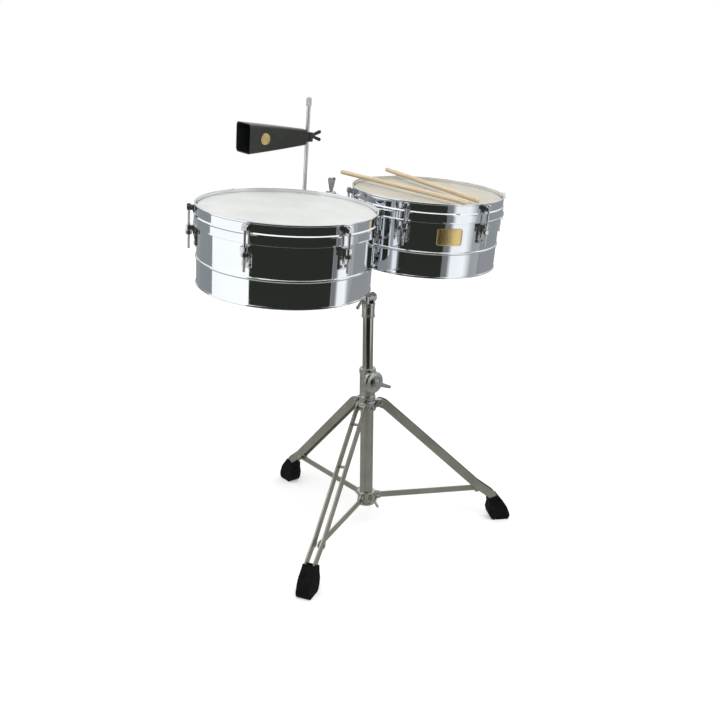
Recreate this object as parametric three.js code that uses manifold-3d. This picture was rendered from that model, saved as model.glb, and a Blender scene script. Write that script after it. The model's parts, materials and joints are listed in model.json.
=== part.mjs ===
// Timbales: two shallow metal drums on a tilting head, on a telescopic post with a folding tripod,
// with a cowbell on a rod behind them and a pair of sticks lying on the smaller drum.
// Millimetres, +Z up, +X from the large drum to the small one, players' side towards -Y.
// The origin is the middle of the bounding box, on the floor.
import * as THREE from "three";
import { mergeVertices } from "three/addons/utils/BufferGeometryUtils.js";
import Module from "manifold-3d";

// ---- Driving dimensions ----

const FIT = 0.3; // gap between pieces that touch, turn or slide on each other
const DRUM_SIDES = 48;
const TUBE_SIDES = 24;
const ROD_SIDES = 12;

// Post
const LOWER_TUBE_R = 15.9;
const UPPER_TUBE_R = 12.7;
const TUBE_WALL = 1.6;
const LOWER_TUBE_BOTTOM = 66;
const LOWER_TUBE_TOP = 405;
const UPPER_TUBE_BOTTOM = 195;
const TILT_PIVOT_Z = 586; // height of the tilting bolt, which sets the top of the upper tube

// Tripod, as distances from the post's axis and heights
const LEG_ANGLES = [90, 210, 330];
const LEG_PIVOT = [32, 325];
const LEG_SHOULDER = [43, 320.5];
const LEG_KNEE = [282, 97]; // where a leg bends outwards, above its brace's rivet
const BRACE_POINT = [282, 86]; // where a brace meets its leg
const LEG_ANKLE = [324, 66]; // where a leg bends down into its foot
const LEG_TOE = [341, 17];
const LEG_WIDTH = 20;
const LEG_STRIP = 3.5; // thickness of each of a leg's two strips
const LEG_GAP = 17; // between the two strips
const PIN_R = 2.5;
const BRACE_WIDTH = 15;
const BRACE_STRIP = 3;
const COLLAR_PIVOT = [31, 81];
const COLLAR_R = 22.5;
const COLLAR_DROP = 20; // from the braces' pivots to the collar's lower end
const COLLAR_HEIGHT = 33;
const HUB_R = 21.5;
const HUB_HEIGHT = 27;
const FOOT_WALL = 2.6;
const FOOT_SIDE_WALL = 4;
const FOOT_SLEEVE = 47; // how far a rubber foot reaches up its leg
const FOOT_SOLE = 41;
const FOOT_HEEL = 16; // how far the sole starts inside the leg's end
const FOOT_BULGE = 4; // how far a foot stands out past its sole

// Height clamp
const CLAMP_R = 20;
const CLAMP_TOP = 415;
const CLAMP_BOSS_R = 27;
const CLAMP_BOSS_FACE = 30;
const CLAMP_BOSS_Z = 383;
const CLAMP_LEVER = [39, -16];

// Tilting head
const TILT_DEG = 6;
const SLEEVE_R = 16;
const SLEEVE_BOTTOM = 539;
const FORK_INNER = 6.6; // half the space between the fork's ears
const FORK_EAR = 5;
const EYE_R = 12;
const TILT_BOLT_R = 4;

// Drums, in the tilting head's own frame
const LARGE_R = 190.5; // 15 inch shell
const SMALL_R = 177.8; // 14 inch shell
const SHELL_DEPTH = 165; // 6.5 inch
const DRUM_GAP = 36; // between the two shells
const DRUM_MIDDLE = [-10, 32]; // middle of that gap, across and behind the tilting bolt
const LARGE_TOP = 227; // top of the large drum's hoop above the tilting bolt
const SMALL_RAISE = 13.6; // how much higher the small drum is clamped
const SHELL_WALL = 2;
const SHELL_BEAD_DROP = 115; // below the hoop's top
const HOOP_ABOVE = 9; // hoop's top above the shell's edge
const HOOP_HEIGHT = 44.5;
const HOOP_STEP = 24; // where the hoop widens to sit on the head's ring
const HEAD_THICK = 1;
const LUGS = 6;
const LUG_PHASE_DEG = 33.5;
const LUG_STANDOFF = 16; // tension hook's axis outside the shell
const LUG_WIDTH = 22;
const LUG_HEIGHT = 48;
const HOOK_R = 2.8;
const HOOK_LENGTH = 78;

// Mounting of the drums on the centre plate
const DRUM_PIVOT_Z = 34;
const PLATE_THICK = 6;
const TAB_THICK = 4;
const TAB_R = 12;
const PAD_WIDTH = 50;
const PAD_HEIGHT = 50;
const WING_SHANK_R = 3.8;
const TAB_SLACK = 2; // room round the wing bolt in a bracket's tab

// Badge on the small drum
const BADGE_DEG = -114;
const BADGE_WIDTH = 64;
const BADGE_HEIGHT = 42;
const BADGE_CORNER = 8;
const BADGE_DROP = 76; // its middle below the hoop's top

// Cowbell, its post and holder, in the tilting head's own frame
const HOLDER_R = 6.35;
const HOLDER_X = 40;
const HOLDER_SETBACK = 194; // behind the drums' middle line
const HOLDER_BEND = 24;
const POST_R = 4.76;
const POST_LEG_Z = 196;
const POST_X = -41;
const POST_TOP = 433;
const POST_BEND = 14;
const BELL_Z = 341.5;
const BELL_LENGTH = 165;
const BELL_MOUTH = [62, 68];
const BELL_END = [29, 36];
const BELL_WALL = 2;

// Sticks
const STICK_R = 5.75;
const STICK_LENGTH = 420;
const STICKS = [
  { middle: [116, 54], heading: -85 },
  { middle: [213, 60], heading: -100 },
];

const FINISHES = {
  chrome: { color: 0xd9dcdf, roughness: 0.08, metalness: 1 },
  standChrome: { color: 0xb9b6ae, roughness: 0.2, metalness: 1 },
  head: { color: 0xeeeee8, roughness: 0.45, metalness: 0 },
  black: { color: 0x17181a, roughness: 0.35, metalness: 0.4 },
  rubber: { color: 0x141414, roughness: 0.85, metalness: 0 },
  nylon: { color: 0x2a2a2a, roughness: 0.6, metalness: 0 },
  wood: { color: 0xcfae7c, roughness: 0.55, metalness: 0 },
  brass: { color: 0xc9a24a, roughness: 0.3, metalness: 1 },
};

// ---- Solids ----

const wasm = await Module();
wasm.setup();

/** A closed three.js geometry as a manifold-3d solid. */
function solid(geometry) {
  const bare = geometry.index ? geometry.toNonIndexed() : geometry.clone();
  bare.deleteAttribute("normal");
  bare.deleteAttribute("uv");
  const merged = mergeVertices(bare, 1e-4);
  const corners = merged.index.array;
  const faces = [];
  for (let i = 0; i < corners.length; i += 3) {
    const [a, b, c] = corners.slice(i, i + 3);
    if (a !== b && b !== c && c !== a) faces.push(a, b, c);
  }
  const vertProperties = merged.attributes.position.array;
  return new wasm.Manifold(new wasm.Mesh({ numProp: 3, vertProperties, triVerts: new Uint32Array(faces) }));
}

const join = (...geometries) => geometries.map(solid).reduce((a, b) => a.add(b));
const cut = (body, ...tools) => tools.map(solid).reduce((a, b) => a.subtract(b), body);

/** A manifold-3d solid as a flat-shaded three.js geometry. */
function geometryOf(made) {
  const mesh = made.getMesh();
  const geometry = new THREE.BufferGeometry();
  geometry.setAttribute("position", new THREE.BufferAttribute(mesh.vertProperties, 3));
  geometry.setIndex(new THREE.BufferAttribute(mesh.triVerts, 1));
  const flat = geometry.toNonIndexed();
  flat.computeVertexNormals();
  return flat;
}

/** Adds one named piece, a solid or a geometry, to a group. */
function piece(group, name, body, finish) {
  const geometry = body.isBufferGeometry ? body : geometryOf(body);
  const mesh = new THREE.Mesh(geometry, new THREE.MeshStandardMaterial(FINISHES[finish]));
  mesh.name = name;
  group.add(mesh);
  return mesh;
}

/** A piece turned about Z from its half section, a list of [radius, height]. */
function turned(section, sides = TUBE_SIDES) {
  const next = (i) => section[(i + 1) % section.length];
  const area = section.reduce((sum, [r, z], i) => sum + r * next(i)[1] - next(i)[0] * z, 0);
  const points = section.map(([r, z]) => new THREE.Vector2(r, z));
  if (area < 0) points.reverse();
  if (Math.max(points[0].x, points.at(-1).x) > 0) points.push(points[0].clone());
  return new THREE.LatheGeometry(points, sides).rotateX(Math.PI / 2);
}

function ring(innerR, outerR, bottom, top, sides = TUBE_SIDES) {
  return turned([[innerR, bottom], [outerR, bottom], [outerR, top], [innerR, top]], sides);
}

/** A round bar from one point to another. */
function bar(radius, from, to, sides = ROD_SIDES) {
  const start = new THREE.Vector3(...from);
  const run = new THREE.Vector3(...to).sub(start);
  const turn = new THREE.Quaternion().setFromUnitVectors(new THREE.Vector3(0, 1, 0), run.clone().normalize());
  const geometry = new THREE.CylinderGeometry(radius, radius, run.length(), sides);
  geometry.translate(0, run.length() / 2, 0);
  geometry.applyQuaternion(turn);
  return geometry.translate(...from);
}

/** A box between two values on each axis. */
function block([x0, x1], [y0, y1], [z0, z1]) {
  const geometry = new THREE.BoxGeometry(x1 - x0, y1 - y0, z1 - z0);
  return geometry.translate((x0 + x1) / 2, (y0 + y1) / 2, (z0 + z1) / 2);
}

/** The outline of a strip of constant width with round ends, along a line of points. */
function ribbon(line, width, capSteps = 6) {
  const points = line.map(([x, y]) => new THREE.Vector2(x, y));
  const normals = points.slice(1).map((p, i) => {
    const along = p.clone().sub(points[i]).normalize();
    return new THREE.Vector2(-along.y, along.x);
  });
  const half = width / 2;
  const left = [];
  const right = [];
  points.forEach((p, i) => {
    const before = normals[Math.max(i - 1, 0)];
    const after = normals[Math.min(i, normals.length - 1)];
    const mitre = before.clone().add(after).normalize();
    mitre.multiplyScalar(half / mitre.dot(after));
    left.push(p.clone().add(mitre));
    right.unshift(p.clone().sub(mitre));
  });
  const cap = (centre, from) => {
    const steps = [];
    for (let i = 1; i < capSteps; i++) {
      steps.push(from.clone().sub(centre).rotateAround(new THREE.Vector2(), (-Math.PI * i) / capSteps).add(centre));
    }
    return steps;
  };
  const ends = [points.at(-1), points[0]];
  return new THREE.Shape([...left, ...cap(ends[0], left.at(-1)), ...right, ...cap(ends[1], right.at(-1))]);
}

/** The outline of a rectangle about the origin with rounded corners. */
function roundedRect(width, height, corner) {
  const x = width / 2 - corner;
  const y = height / 2 - corner;
  const quarter = Math.PI / 2;
  const outline = new THREE.Shape();
  [[x, -y], [x, y], [-x, y], [-x, -y]].forEach(([centreX, centreY], i) => {
    outline.absarc(centreX, centreY, corner, (i - 1) * quarter, i * quarter);
  });
  outline.closePath();
  return outline;
}

/** A plate in the XZ plane, with its middle at the given Y. */
function plate(shape, thickness, y = 0) {
  const geometry = new THREE.ExtrudeGeometry(shape, { depth: thickness, bevelEnabled: false, curveSegments: 8 });
  return geometry.translate(0, 0, -thickness / 2).rotateX(Math.PI / 2).translate(0, y, 0);
}

/** A plate in the YZ plane, with its middle at the given X. */
function sidePlate(shape, thickness, x) {
  return plate(shape, thickness).rotateZ(Math.PI / 2).translate(x, 0, 0);
}

/** A bar bent along a path of straight runs with round corners. */
function bentBar(radius, corners, bend, steps) {
  const points = corners.map((c) => new THREE.Vector3(...c));
  const path = new THREE.CurvePath();
  let from = points[0];
  for (let i = 1; i < points.length - 1; i++) {
    const enter = points[i].clone().add(points[i - 1].clone().sub(points[i]).setLength(bend));
    const leave = points[i].clone().add(points[i + 1].clone().sub(points[i]).setLength(bend));
    path.add(new THREE.LineCurve3(from, enter));
    path.add(new THREE.QuadraticBezierCurve3(enter, points[i], leave));
    from = leave;
  }
  path.add(new THREE.LineCurve3(from, points.at(-1)));
  const section = new THREE.Shape();
  section.absarc(0, 0, radius, 0, Math.PI * 2);
  return new THREE.ExtrudeGeometry(section, {
    extrudePath: path,
    steps,
    curveSegments: ROD_SIDES / 2,
    bevelEnabled: false,
  });
}

/** A wing bolt along +X: its shank runs back from the seat at x = 0, its wings stand out in front. */
function wingBolt({ shankR, shank, hubR, hub, span, reach, thick }) {
  const wing = (side) => plate(ribbon([[hub / 2, 0], [reach, (side * span) / 2]], thick * 2), thick);
  return join(
    bar(shankR, [-shank, 0, 0], [hub / 2, 0, 0]),
    bar(hubR, [0, 0, 0], [hub, 0, 0]),
    wing(1),
    wing(-1),
  );
}

// ---- Post ----

function buildPost(group) {
  const bore = LOWER_TUBE_R - TUBE_WALL;
  piece(group, "lower_tube", ring(bore, LOWER_TUBE_R, LOWER_TUBE_BOTTOM, LOWER_TUBE_TOP), "standChrome");
  const capTop = LOWER_TUBE_BOTTOM - FIT;
  const cap = turned([
    [0, capTop - 4],
    [LOWER_TUBE_R, capTop - 4],
    [LOWER_TUBE_R, capTop],
    [bore - FIT, capTop],
    [bore - FIT, capTop + 12],
    [0, capTop + 12],
  ]);
  piece(group, "tube_end_cap", cap, "rubber");
  const bushR = UPPER_TUBE_R + FIT / 2;
  const bush = turned([
    [bushR, LOWER_TUBE_TOP - 60],
    [bore - FIT / 2, LOWER_TUBE_TOP - 60],
    [bore - FIT / 2, LOWER_TUBE_TOP + FIT],
    [LOWER_TUBE_R, LOWER_TUBE_TOP + FIT],
    [LOWER_TUBE_R, LOWER_TUBE_TOP + 3],
    [bushR, LOWER_TUBE_TOP + 3],
  ]);
  piece(group, "tube_bush", bush, "nylon");
}

function buildUpperTube(group) {
  const top = TILT_PIVOT_Z - EYE_R - 5 - FIT * 2;
  piece(group, "upper_tube", ring(UPPER_TUBE_R - TUBE_WALL, UPPER_TUBE_R, UPPER_TUBE_BOTTOM, top), "standChrome");
}

function buildHeightClamp(group) {
  const inner = LOWER_TUBE_R + FIT;
  const hubTop = LEG_PIVOT[1] + HUB_HEIGHT / 3;
  const shoulder = LOWER_TUBE_TOP + 3 + FIT;
  const body = turned([
    [inner, hubTop + FIT],
    [CLAMP_R, hubTop + FIT],
    [CLAMP_R, CLAMP_TOP - 2],
    [CLAMP_R - 2, CLAMP_TOP],
    [UPPER_TUBE_R + FIT, CLAMP_TOP],
    [UPPER_TUBE_R + FIT, shoulder],
    [inner, shoulder],
  ]);
  const boss = bar(CLAMP_BOSS_R, [0, -inner - 1, CLAMP_BOSS_Z], [0, -CLAMP_BOSS_FACE, CLAMP_BOSS_Z], TUBE_SIDES);
  const bore = bar(inner, [0, 0, hubTop], [0, 0, shoulder], TUBE_SIDES);
  const boltHole = bar(TILT_BOLT_R + FIT, [0, 0, CLAMP_BOSS_Z], [0, -CLAMP_BOSS_FACE - 1, CLAMP_BOSS_Z]);
  piece(group, "height_clamp", cut(join(body, boss), bore, boltHole), "standChrome");

  const face = -CLAMP_BOSS_FACE - FIT;
  const lever = join(
    bar(TILT_BOLT_R, [0, -inner - FIT, 0], [0, face - 1, 0]),
    bar(10, [0, face, 0], [0, face - 9, 0]),
    plate(ribbon([[0, 0], CLAMP_LEVER], 7), 4, face - 6),
  );
  piece(group, "height_lever", lever, "standChrome").position.z = CLAMP_BOSS_Z;
}

// ---- Tripod ----

const legLine = [LEG_PIVOT, LEG_SHOULDER, LEG_KNEE, LEG_ANKLE, LEG_TOE];
const legHalf = LEG_GAP / 2 + LEG_STRIP;
const toeRun = new THREE.Vector2(LEG_TOE[0] - LEG_ANKLE[0], LEG_TOE[1] - LEG_ANKLE[1]).normalize();

/** The point of a leg's last stretch at a distance back from its end. */
const upFromToe = (distance) => [LEG_TOE[0] - toeRun.x * distance, LEG_TOE[1] - toeRun.y * distance];

function buildHub(group) {
  const top = LEG_PIVOT[1] + HUB_HEIGHT / 3;
  const inner = LOWER_TUBE_R + FIT;
  const ears = LEG_ANGLES.map((angle) => {
    const ear = plate(ribbon([[LOWER_TUBE_R + 2, LEG_PIVOT[1]], LEG_PIVOT], LEG_WIDTH - 3), LEG_GAP - 2);
    return ear.rotateZ(THREE.MathUtils.degToRad(angle));
  });
  const holes = LEG_ANGLES.map((angle) => {
    const hole = bar(PIN_R + FIT, [LEG_PIVOT[0], -LEG_GAP, LEG_PIVOT[1]], [LEG_PIVOT[0], LEG_GAP, LEG_PIVOT[1]]);
    return hole.rotateZ(THREE.MathUtils.degToRad(angle));
  });
  const bore = bar(inner, [0, 0, top - HUB_HEIGHT - 1], [0, 0, top + 1], TUBE_SIDES);
  const screwZ = top - HUB_HEIGHT + 8;
  const screwHole = bar(PIN_R + FIT, [0, 0, screwZ], [0, -HUB_R - 1, screwZ]);
  const body = join(ring(inner, HUB_R, top - HUB_HEIGHT, top), ...ears);
  piece(group, "leg_hub", cut(body, bore, screwHole, ...holes), "standChrome");
  const screw = join(
    bar(PIN_R, [0, -inner - FIT, screwZ], [0, -HUB_R - 2, screwZ]),
    bar(5, [0, -HUB_R - FIT, screwZ], [0, -HUB_R - 5, screwZ]),
  );
  piece(group, "hub_screw", screw, "standChrome");
}

function legPin() {
  const end = legHalf + FIT;
  const [r, z] = LEG_PIVOT;
  return join(
    bar(PIN_R, [r, -end - 1, z], [r, end + 1, z]),
    bar(PIN_R + 2, [r, -end - 2, z], [r, -end, z]),
    bar(PIN_R + 2, [r, end, z], [r, end + 2, z]),
  );
}

function leg() {
  const across = (radius, [r, z], half) => bar(radius, [r, -half, z], [r, half, z]);
  const strips = [-1, 1].flatMap((side) => {
    const y = (side * (LEG_GAP + LEG_STRIP)) / 2;
    const ear = ribbon([LEG_KNEE, BRACE_POINT], LEG_WIDTH - 5);
    return [plate(ribbon(legLine, LEG_WIDTH), LEG_STRIP, y), plate(ear, LEG_STRIP, y)];
  });
  const toeBlock = plate(ribbon([upFromToe(FOOT_SLEEVE / 2), LEG_TOE], LEG_WIDTH - 2), LEG_GAP + 1);
  const spacer = across(3, [LEG_SHOULDER[0] + 28, LEG_SHOULDER[1] - 28], legHalf - 1);
  const rivetHeads = [-1, 1].map((side) => {
    const [r, z] = BRACE_POINT;
    return bar(5, [r, side * (legHalf - 1), z], [r, side * (legHalf + 2), z]);
  });
  return cut(join(...strips, toeBlock, spacer, ...rivetHeads), across(PIN_R + FIT, LEG_PIVOT, legHalf + 1));
}

function foot() {
  const mouth = upFromToe(FOOT_SLEEVE);
  const reach = LEG_WIDTH / 2 + FOOT_WALL;
  const heel = LEG_TOE[0] - FOOT_HEEL;
  const tip = heel + FOOT_SOLE;
  const outline = new THREE.Shape([
    new THREE.Vector2(heel, 0),
    new THREE.Vector2(tip, 0),
    new THREE.Vector2(tip + FOOT_BULGE, 9),
    new THREE.Vector2(tip + FOOT_BULGE - 1, 17),
    new THREE.Vector2(mouth[0] - toeRun.y * reach, mouth[1] + toeRun.x * reach),
    new THREE.Vector2(mouth[0] + toeRun.y * reach, mouth[1] - toeRun.x * reach),
    new THREE.Vector2(heel - 3 * FOOT_BULGE, 27),
    new THREE.Vector2(heel - 2 * FOOT_BULGE, 12),
  ]);
  const body = plate(outline, 2 * (legHalf + FIT + FOOT_SIDE_WALL));
  const socket = plate(ribbon([LEG_KNEE, LEG_ANKLE, LEG_TOE], LEG_WIDTH + 2 * FIT), 2 * (legHalf + FIT));
  return cut(solid(body), socket);
}

function brace() {
  const strip = plate(ribbon([COLLAR_PIVOT, BRACE_POINT], BRACE_WIDTH), BRACE_STRIP);
  const [r, z] = COLLAR_PIVOT;
  return cut(solid(strip), bar(PIN_R + FIT, [r, -BRACE_STRIP, z], [r, BRACE_STRIP, z]));
}

function buildCollar(group) {
  const inner = LOWER_TUBE_R + FIT;
  const bottom = COLLAR_PIVOT[1] - COLLAR_DROP;
  const earThick = 2.5;
  const earY = BRACE_STRIP / 2 + FIT * 1.5 + earThick / 2;
  const [r, z] = COLLAR_PIVOT;
  const clevises = LEG_ANGLES.flatMap((angle) => {
    const ear = (side) => plate(ribbon([[inner + 3, z], [r, z]], BRACE_WIDTH + 3), earThick, side * earY);
    const pin = bar(PIN_R, [r, -earY, z], [r, earY, z]);
    return [ear(1), ear(-1), pin].map((g) => g.rotateZ(THREE.MathUtils.degToRad(angle)));
  });
  const seat = COLLAR_R + 6;
  const boss = bar(8, [0, -inner - 1, z], [0, -seat, z]);
  const body = join(ring(inner, COLLAR_R, bottom, bottom + COLLAR_HEIGHT), boss, ...clevises);
  const bore = bar(inner, [0, 0, bottom - 1], [0, 0, bottom + COLLAR_HEIGHT + 1], TUBE_SIDES);
  const boltHole = bar(WING_SHANK_R + FIT, [0, 0, z], [0, -seat - 1, z]);
  piece(group, "brace_collar", cut(body, bore, boltHole), "standChrome");

  const bolt = wingBolt({
    shankR: WING_SHANK_R, shank: seat - inner, hubR: 6.5, hub: 7, span: 26, reach: 16, thick: 3,
  });
  const mesh = piece(group, "collar_wing_bolt", bolt, "standChrome");
  mesh.position.set(0, -seat - FIT, z);
  mesh.rotation.z = -Math.PI / 2;
}

function buildTripod(group) {
  buildHub(group);
  buildCollar(group);
  LEG_ANGLES.forEach((angle, i) => {
    const arm = new THREE.Group();
    arm.rotation.z = THREE.MathUtils.degToRad(angle);
    group.add(arm);
    const number = i + 1;
    piece(arm, `leg_${number}`, leg(), "standChrome");
    piece(arm, `leg_pin_${number}`, legPin(), "standChrome");
    piece(arm, `brace_${number}`, brace(), "standChrome");
    piece(arm, `foot_${number}`, foot(), "rubber");
  });
}

// ---- Tilting head ----

function buildTilterBase(group) {
  const bore = UPPER_TUBE_R + FIT;
  const roof = TILT_PIVOT_Z - EYE_R - FIT;
  const sleeve = turned([
    [bore, SLEEVE_BOTTOM],
    [SLEEVE_R, SLEEVE_BOTTOM],
    [SLEEVE_R, roof],
    [0, roof],
    [0, roof - 5],
    [bore, roof - 5],
  ]);
  const earX = FORK_INNER + FORK_EAR / 2;
  const ears = [-1, 1].map((side) =>
    sidePlate(ribbon([[0, roof - 3], [0, TILT_PIVOT_Z]], EYE_R * 2 - 2), FORK_EAR, side * earX),
  );
  const span = FORK_INNER + FORK_EAR + 1;
  const hole = bar(TILT_BOLT_R + FIT, [-span, 0, TILT_PIVOT_Z], [span, 0, TILT_PIVOT_Z]);
  const clear = block([-FORK_INNER, FORK_INNER], [-SLEEVE_R, SLEEVE_R], [roof, roof + EYE_R * 3]);
  const socket = bar(bore, [0, 0, SLEEVE_BOTTOM - 1], [0, 0, roof - 5], TUBE_SIDES);
  piece(group, "tilter_base", cut(join(sleeve, ...ears), hole, clear, socket), "standChrome");

  const seat = FORK_INNER + FORK_EAR + FIT;
  const dome = turned([[0, 0], [EYE_R, 0], [EYE_R, 3], [EYE_R * 0.86, 6.5], [EYE_R * 0.5, 9.5], [0, 10.5]], 20);
  dome.rotateY(Math.PI / 2).translate(seat, 0, 0);
  const bolt = join(dome, bar(TILT_BOLT_R, [-seat - 9, 0, 0], [seat + 1, 0, 0]));
  piece(group, "tilter_bolt", bolt, "standChrome").position.z = TILT_PIVOT_Z;

  const nut = cut(
    join(
      bar(8, [-seat, 0, 0], [-seat - 8, 0, 0]),
      bar(3.2, [-seat - 4, 0, 0], [-seat - 20, 0, -20]),
      new THREE.SphereGeometry(4.6, 12, 8).translate(-seat - 20, 0, -20),
    ),
    bar(TILT_BOLT_R + FIT, [-seat + 1, 0, 0], [-seat - 9 - FIT, 0, 0]),
  );
  piece(group, "tilter_lever", nut, "standChrome").position.z = TILT_PIVOT_Z;
}

const socketFace = DRUM_MIDDLE[1] + 20;

function buildTilterHead(group) {
  const half = FORK_INNER - FIT;
  const hole = (radius, z, y) => bar(radius, [-20, y, z], [20, y, z]);
  const body = join(
    bar(EYE_R - FIT, [-half, 0, 0], [half, 0, 0], 20),
    block([-half, half], [0, socketFace], [-8, 8]),
    block([-half - 3, half + 3], [DRUM_MIDDLE[1] + 14, socketFace], [-10, 10]),
  );
  const socket = bar(HOLDER_R + FIT, [0, DRUM_MIDDLE[1], 0], [0, socketFace + 1, 0]);
  const plateX = DRUM_MIDDLE[0] + PLATE_THICK / 2;
  const room = block([plateX - PLATE_THICK - FIT, plateX + FIT], [0, DRUM_MIDDLE[1] + 13], [-20, 20]);
  const cutters = [hole(TILT_BOLT_R + FIT, 0, 0), hole(PIN_R + FIT, 0, DRUM_MIDDLE[1] - 8), socket, room];
  piece(group, "tilter_head", cut(body, ...cutters), "standChrome");

  const [x, y] = DRUM_MIDDLE;
  const outline = ribbon([[y - 8, 0], [y, DRUM_PIVOT_Z]], TAB_R * 2);
  const centre = cut(
    solid(sidePlate(outline, PLATE_THICK, x)),
    hole(WING_SHANK_R + FIT, DRUM_PIVOT_Z, y),
    hole(PIN_R + FIT, 0, y - 8),
    block([x - PLATE_THICK, x + PLATE_THICK], [y + 13 - FIT, y + 40], [-20, 12]),
  );
  piece(group, "centre_plate", centre, "standChrome");
  const screwSeat = x - PLATE_THICK / 2 - FIT;
  const screw = join(
    bar(PIN_R, [screwSeat - 1, y - 8, 0], [half - 1, y - 8, 0]),
    bar(6, [screwSeat - 4, y - 8, 0], [screwSeat, y - 8, 0], 6),
  );
  piece(group, "plate_screw", screw, "standChrome");
}

// ---- Drums ----

/** The shell with the lug brackets that are bolted to it, hanging from the hoop's top at z = 0. */
function shell(radius) {
  const bottom = -HOOP_ABOVE - SHELL_DEPTH;
  const inner = radius - SHELL_WALL;
  const wall = turned(
    [
      [inner, bottom],
      [radius + 1.5, bottom],
      [radius, bottom + 3],
      [radius, -SHELL_BEAD_DROP - 3],
      [radius + 2.5, -SHELL_BEAD_DROP],
      [radius, -SHELL_BEAD_DROP + 3],
      [radius, -HOOP_ABOVE],
      [inner, -HOOP_ABOVE],
    ],
    DRUM_SIDES,
  );
  const top = -HOOP_HEIGHT - 1.5;
  const earTop = top - 2;
  const parts = [];
  const holes = [];
  for (let i = 0; i < LUGS; i++) {
    const turn = THREE.MathUtils.degToRad(LUG_PHASE_DEG + (360 / LUGS) * i);
    const half = LUG_WIDTH / 2;
    const axis = radius + LUG_STANDOFF;
    const base = block([inner + 0.7, radius + 3], [-half, half], [top - LUG_HEIGHT, top]);
    const ear = block([radius, axis + 6], [-half + 3, half - 3], [earTop - 10, earTop]);
    const hole = bar(HOOK_R + FIT * 2, [axis, 0, earTop - 12], [axis, 0, earTop + 2]);
    parts.push(base.rotateZ(turn), ear.rotateZ(turn));
    holes.push(hole.rotateZ(turn));
  }
  return cut(join(wall, ...parts), ...holes);
}

function hoop(radius) {
  return turned(
    [
      [radius + 1.8, 0],
      [radius + 6, 0],
      [radius + 6, -3],
      [radius + 3.8, -3.6],
      [radius + 3.8, -HOOP_STEP + 2.5],
      [radius + 6.6, -HOOP_STEP],
      [radius + 6.2, -HOOP_STEP - 2],
      [radius + 6.2, -HOOP_HEIGHT + 2.5],
      [radius + 7.6, -HOOP_HEIGHT],
      [radius + 4.6, -HOOP_HEIGHT],
      [radius + 4.6, -HOOP_STEP - 1.5],
      [radius + 1.8, -HOOP_STEP - 1.5],
    ],
    DRUM_SIDES,
  );
}

/** The drumhead: a film over the shell's edge, with the ring under the hoop's step. */
function drumhead(radius) {
  const under = -HOOP_ABOVE + FIT;
  const ringTop = -HOOP_STEP - 1.5 - FIT;
  const film = radius + FIT + HEAD_THICK;
  return turned(
    [
      [0, under],
      [radius + FIT, under],
      [radius + FIT, ringTop - 9],
      [radius + 4.6 - FIT, ringTop - 9],
      [radius + 4.6 - FIT, ringTop],
      [film, ringTop],
      [film, under + HEAD_THICK],
      [0, under + HEAD_THICK],
    ],
    DRUM_SIDES,
  );
}

/** A claw that sits on the hoop's step, with its threaded rod. */
function tensionHook(radius) {
  const axis = radius + LUG_STANDOFF;
  const seat = -HOOP_STEP + 2.5 + FIT * 2;
  const nose = radius + 3.8 + FIT;
  return join(
    block([nose, axis + 4.5], [-6, 6], [seat + 5, seat + 16]),
    block([nose, nose + 4], [-6, 6], [seat, seat + 6]),
    bar(HOOK_R, [axis, 0, seat + 6], [axis, 0, seat - HOOK_LENGTH]),
  );
}

/** The bracket bolted to a shell's side, with the tab that is clamped to the centre plate below. */
function bracket(radius, bottom, side) {
  const face = DRUM_GAP / 2;
  const tabX = PLATE_THICK / 2 + FIT;
  const shelf = bottom + 4;
  const half = PAD_WIDTH / 2;
  const body = join(
    block([tabX, face + 6], [-half, half], [shelf, shelf + 4]),
    block([face - 5, face + 6], [-half, half], [shelf, shelf + PAD_HEIGHT]),
    sidePlate(ribbon([[0, DRUM_PIVOT_Z], [0, shelf - 2]], TAB_R * 2), TAB_THICK, tabX + TAB_THICK / 2),
  );
  const middle = face + radius;
  const shellRoom = bar(radius + FIT, [middle, 0, shelf - 20], [middle, 0, shelf + 120], DRUM_SIDES * 2);
  const hole = bar(WING_SHANK_R + TAB_SLACK, [0, 0, DRUM_PIVOT_Z], [face, 0, DRUM_PIVOT_Z]);
  const capRoom = block([tabX - 1, face - 5], [-half, half], [shelf + 4, shelf + PAD_HEIGHT]);
  const made = geometryOf(cut(body, shellRoom, hole, capRoom));
  return side > 0 ? made : made.rotateZ(Math.PI);
}

function badge(radius) {
  const label = roundedRect(BADGE_WIDTH, BADGE_HEIGHT, BADGE_CORNER);
  const prism = new THREE.ExtrudeGeometry(label, { depth: 30, bevelEnabled: false, curveSegments: 6 });
  prism.rotateX(Math.PI / 2).rotateZ(Math.PI / 2).translate(radius - 15, 0, -BADGE_DROP);
  const turn = THREE.MathUtils.degToRad(BADGE_DEG);
  const skin = ring(radius + FIT, radius + FIT + 1.4, -BADGE_DROP - BADGE_HEIGHT, -BADGE_DROP + BADGE_HEIGHT, DRUM_SIDES);
  return solid(skin).intersect(solid(prism.rotateZ(turn)));
}

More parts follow.
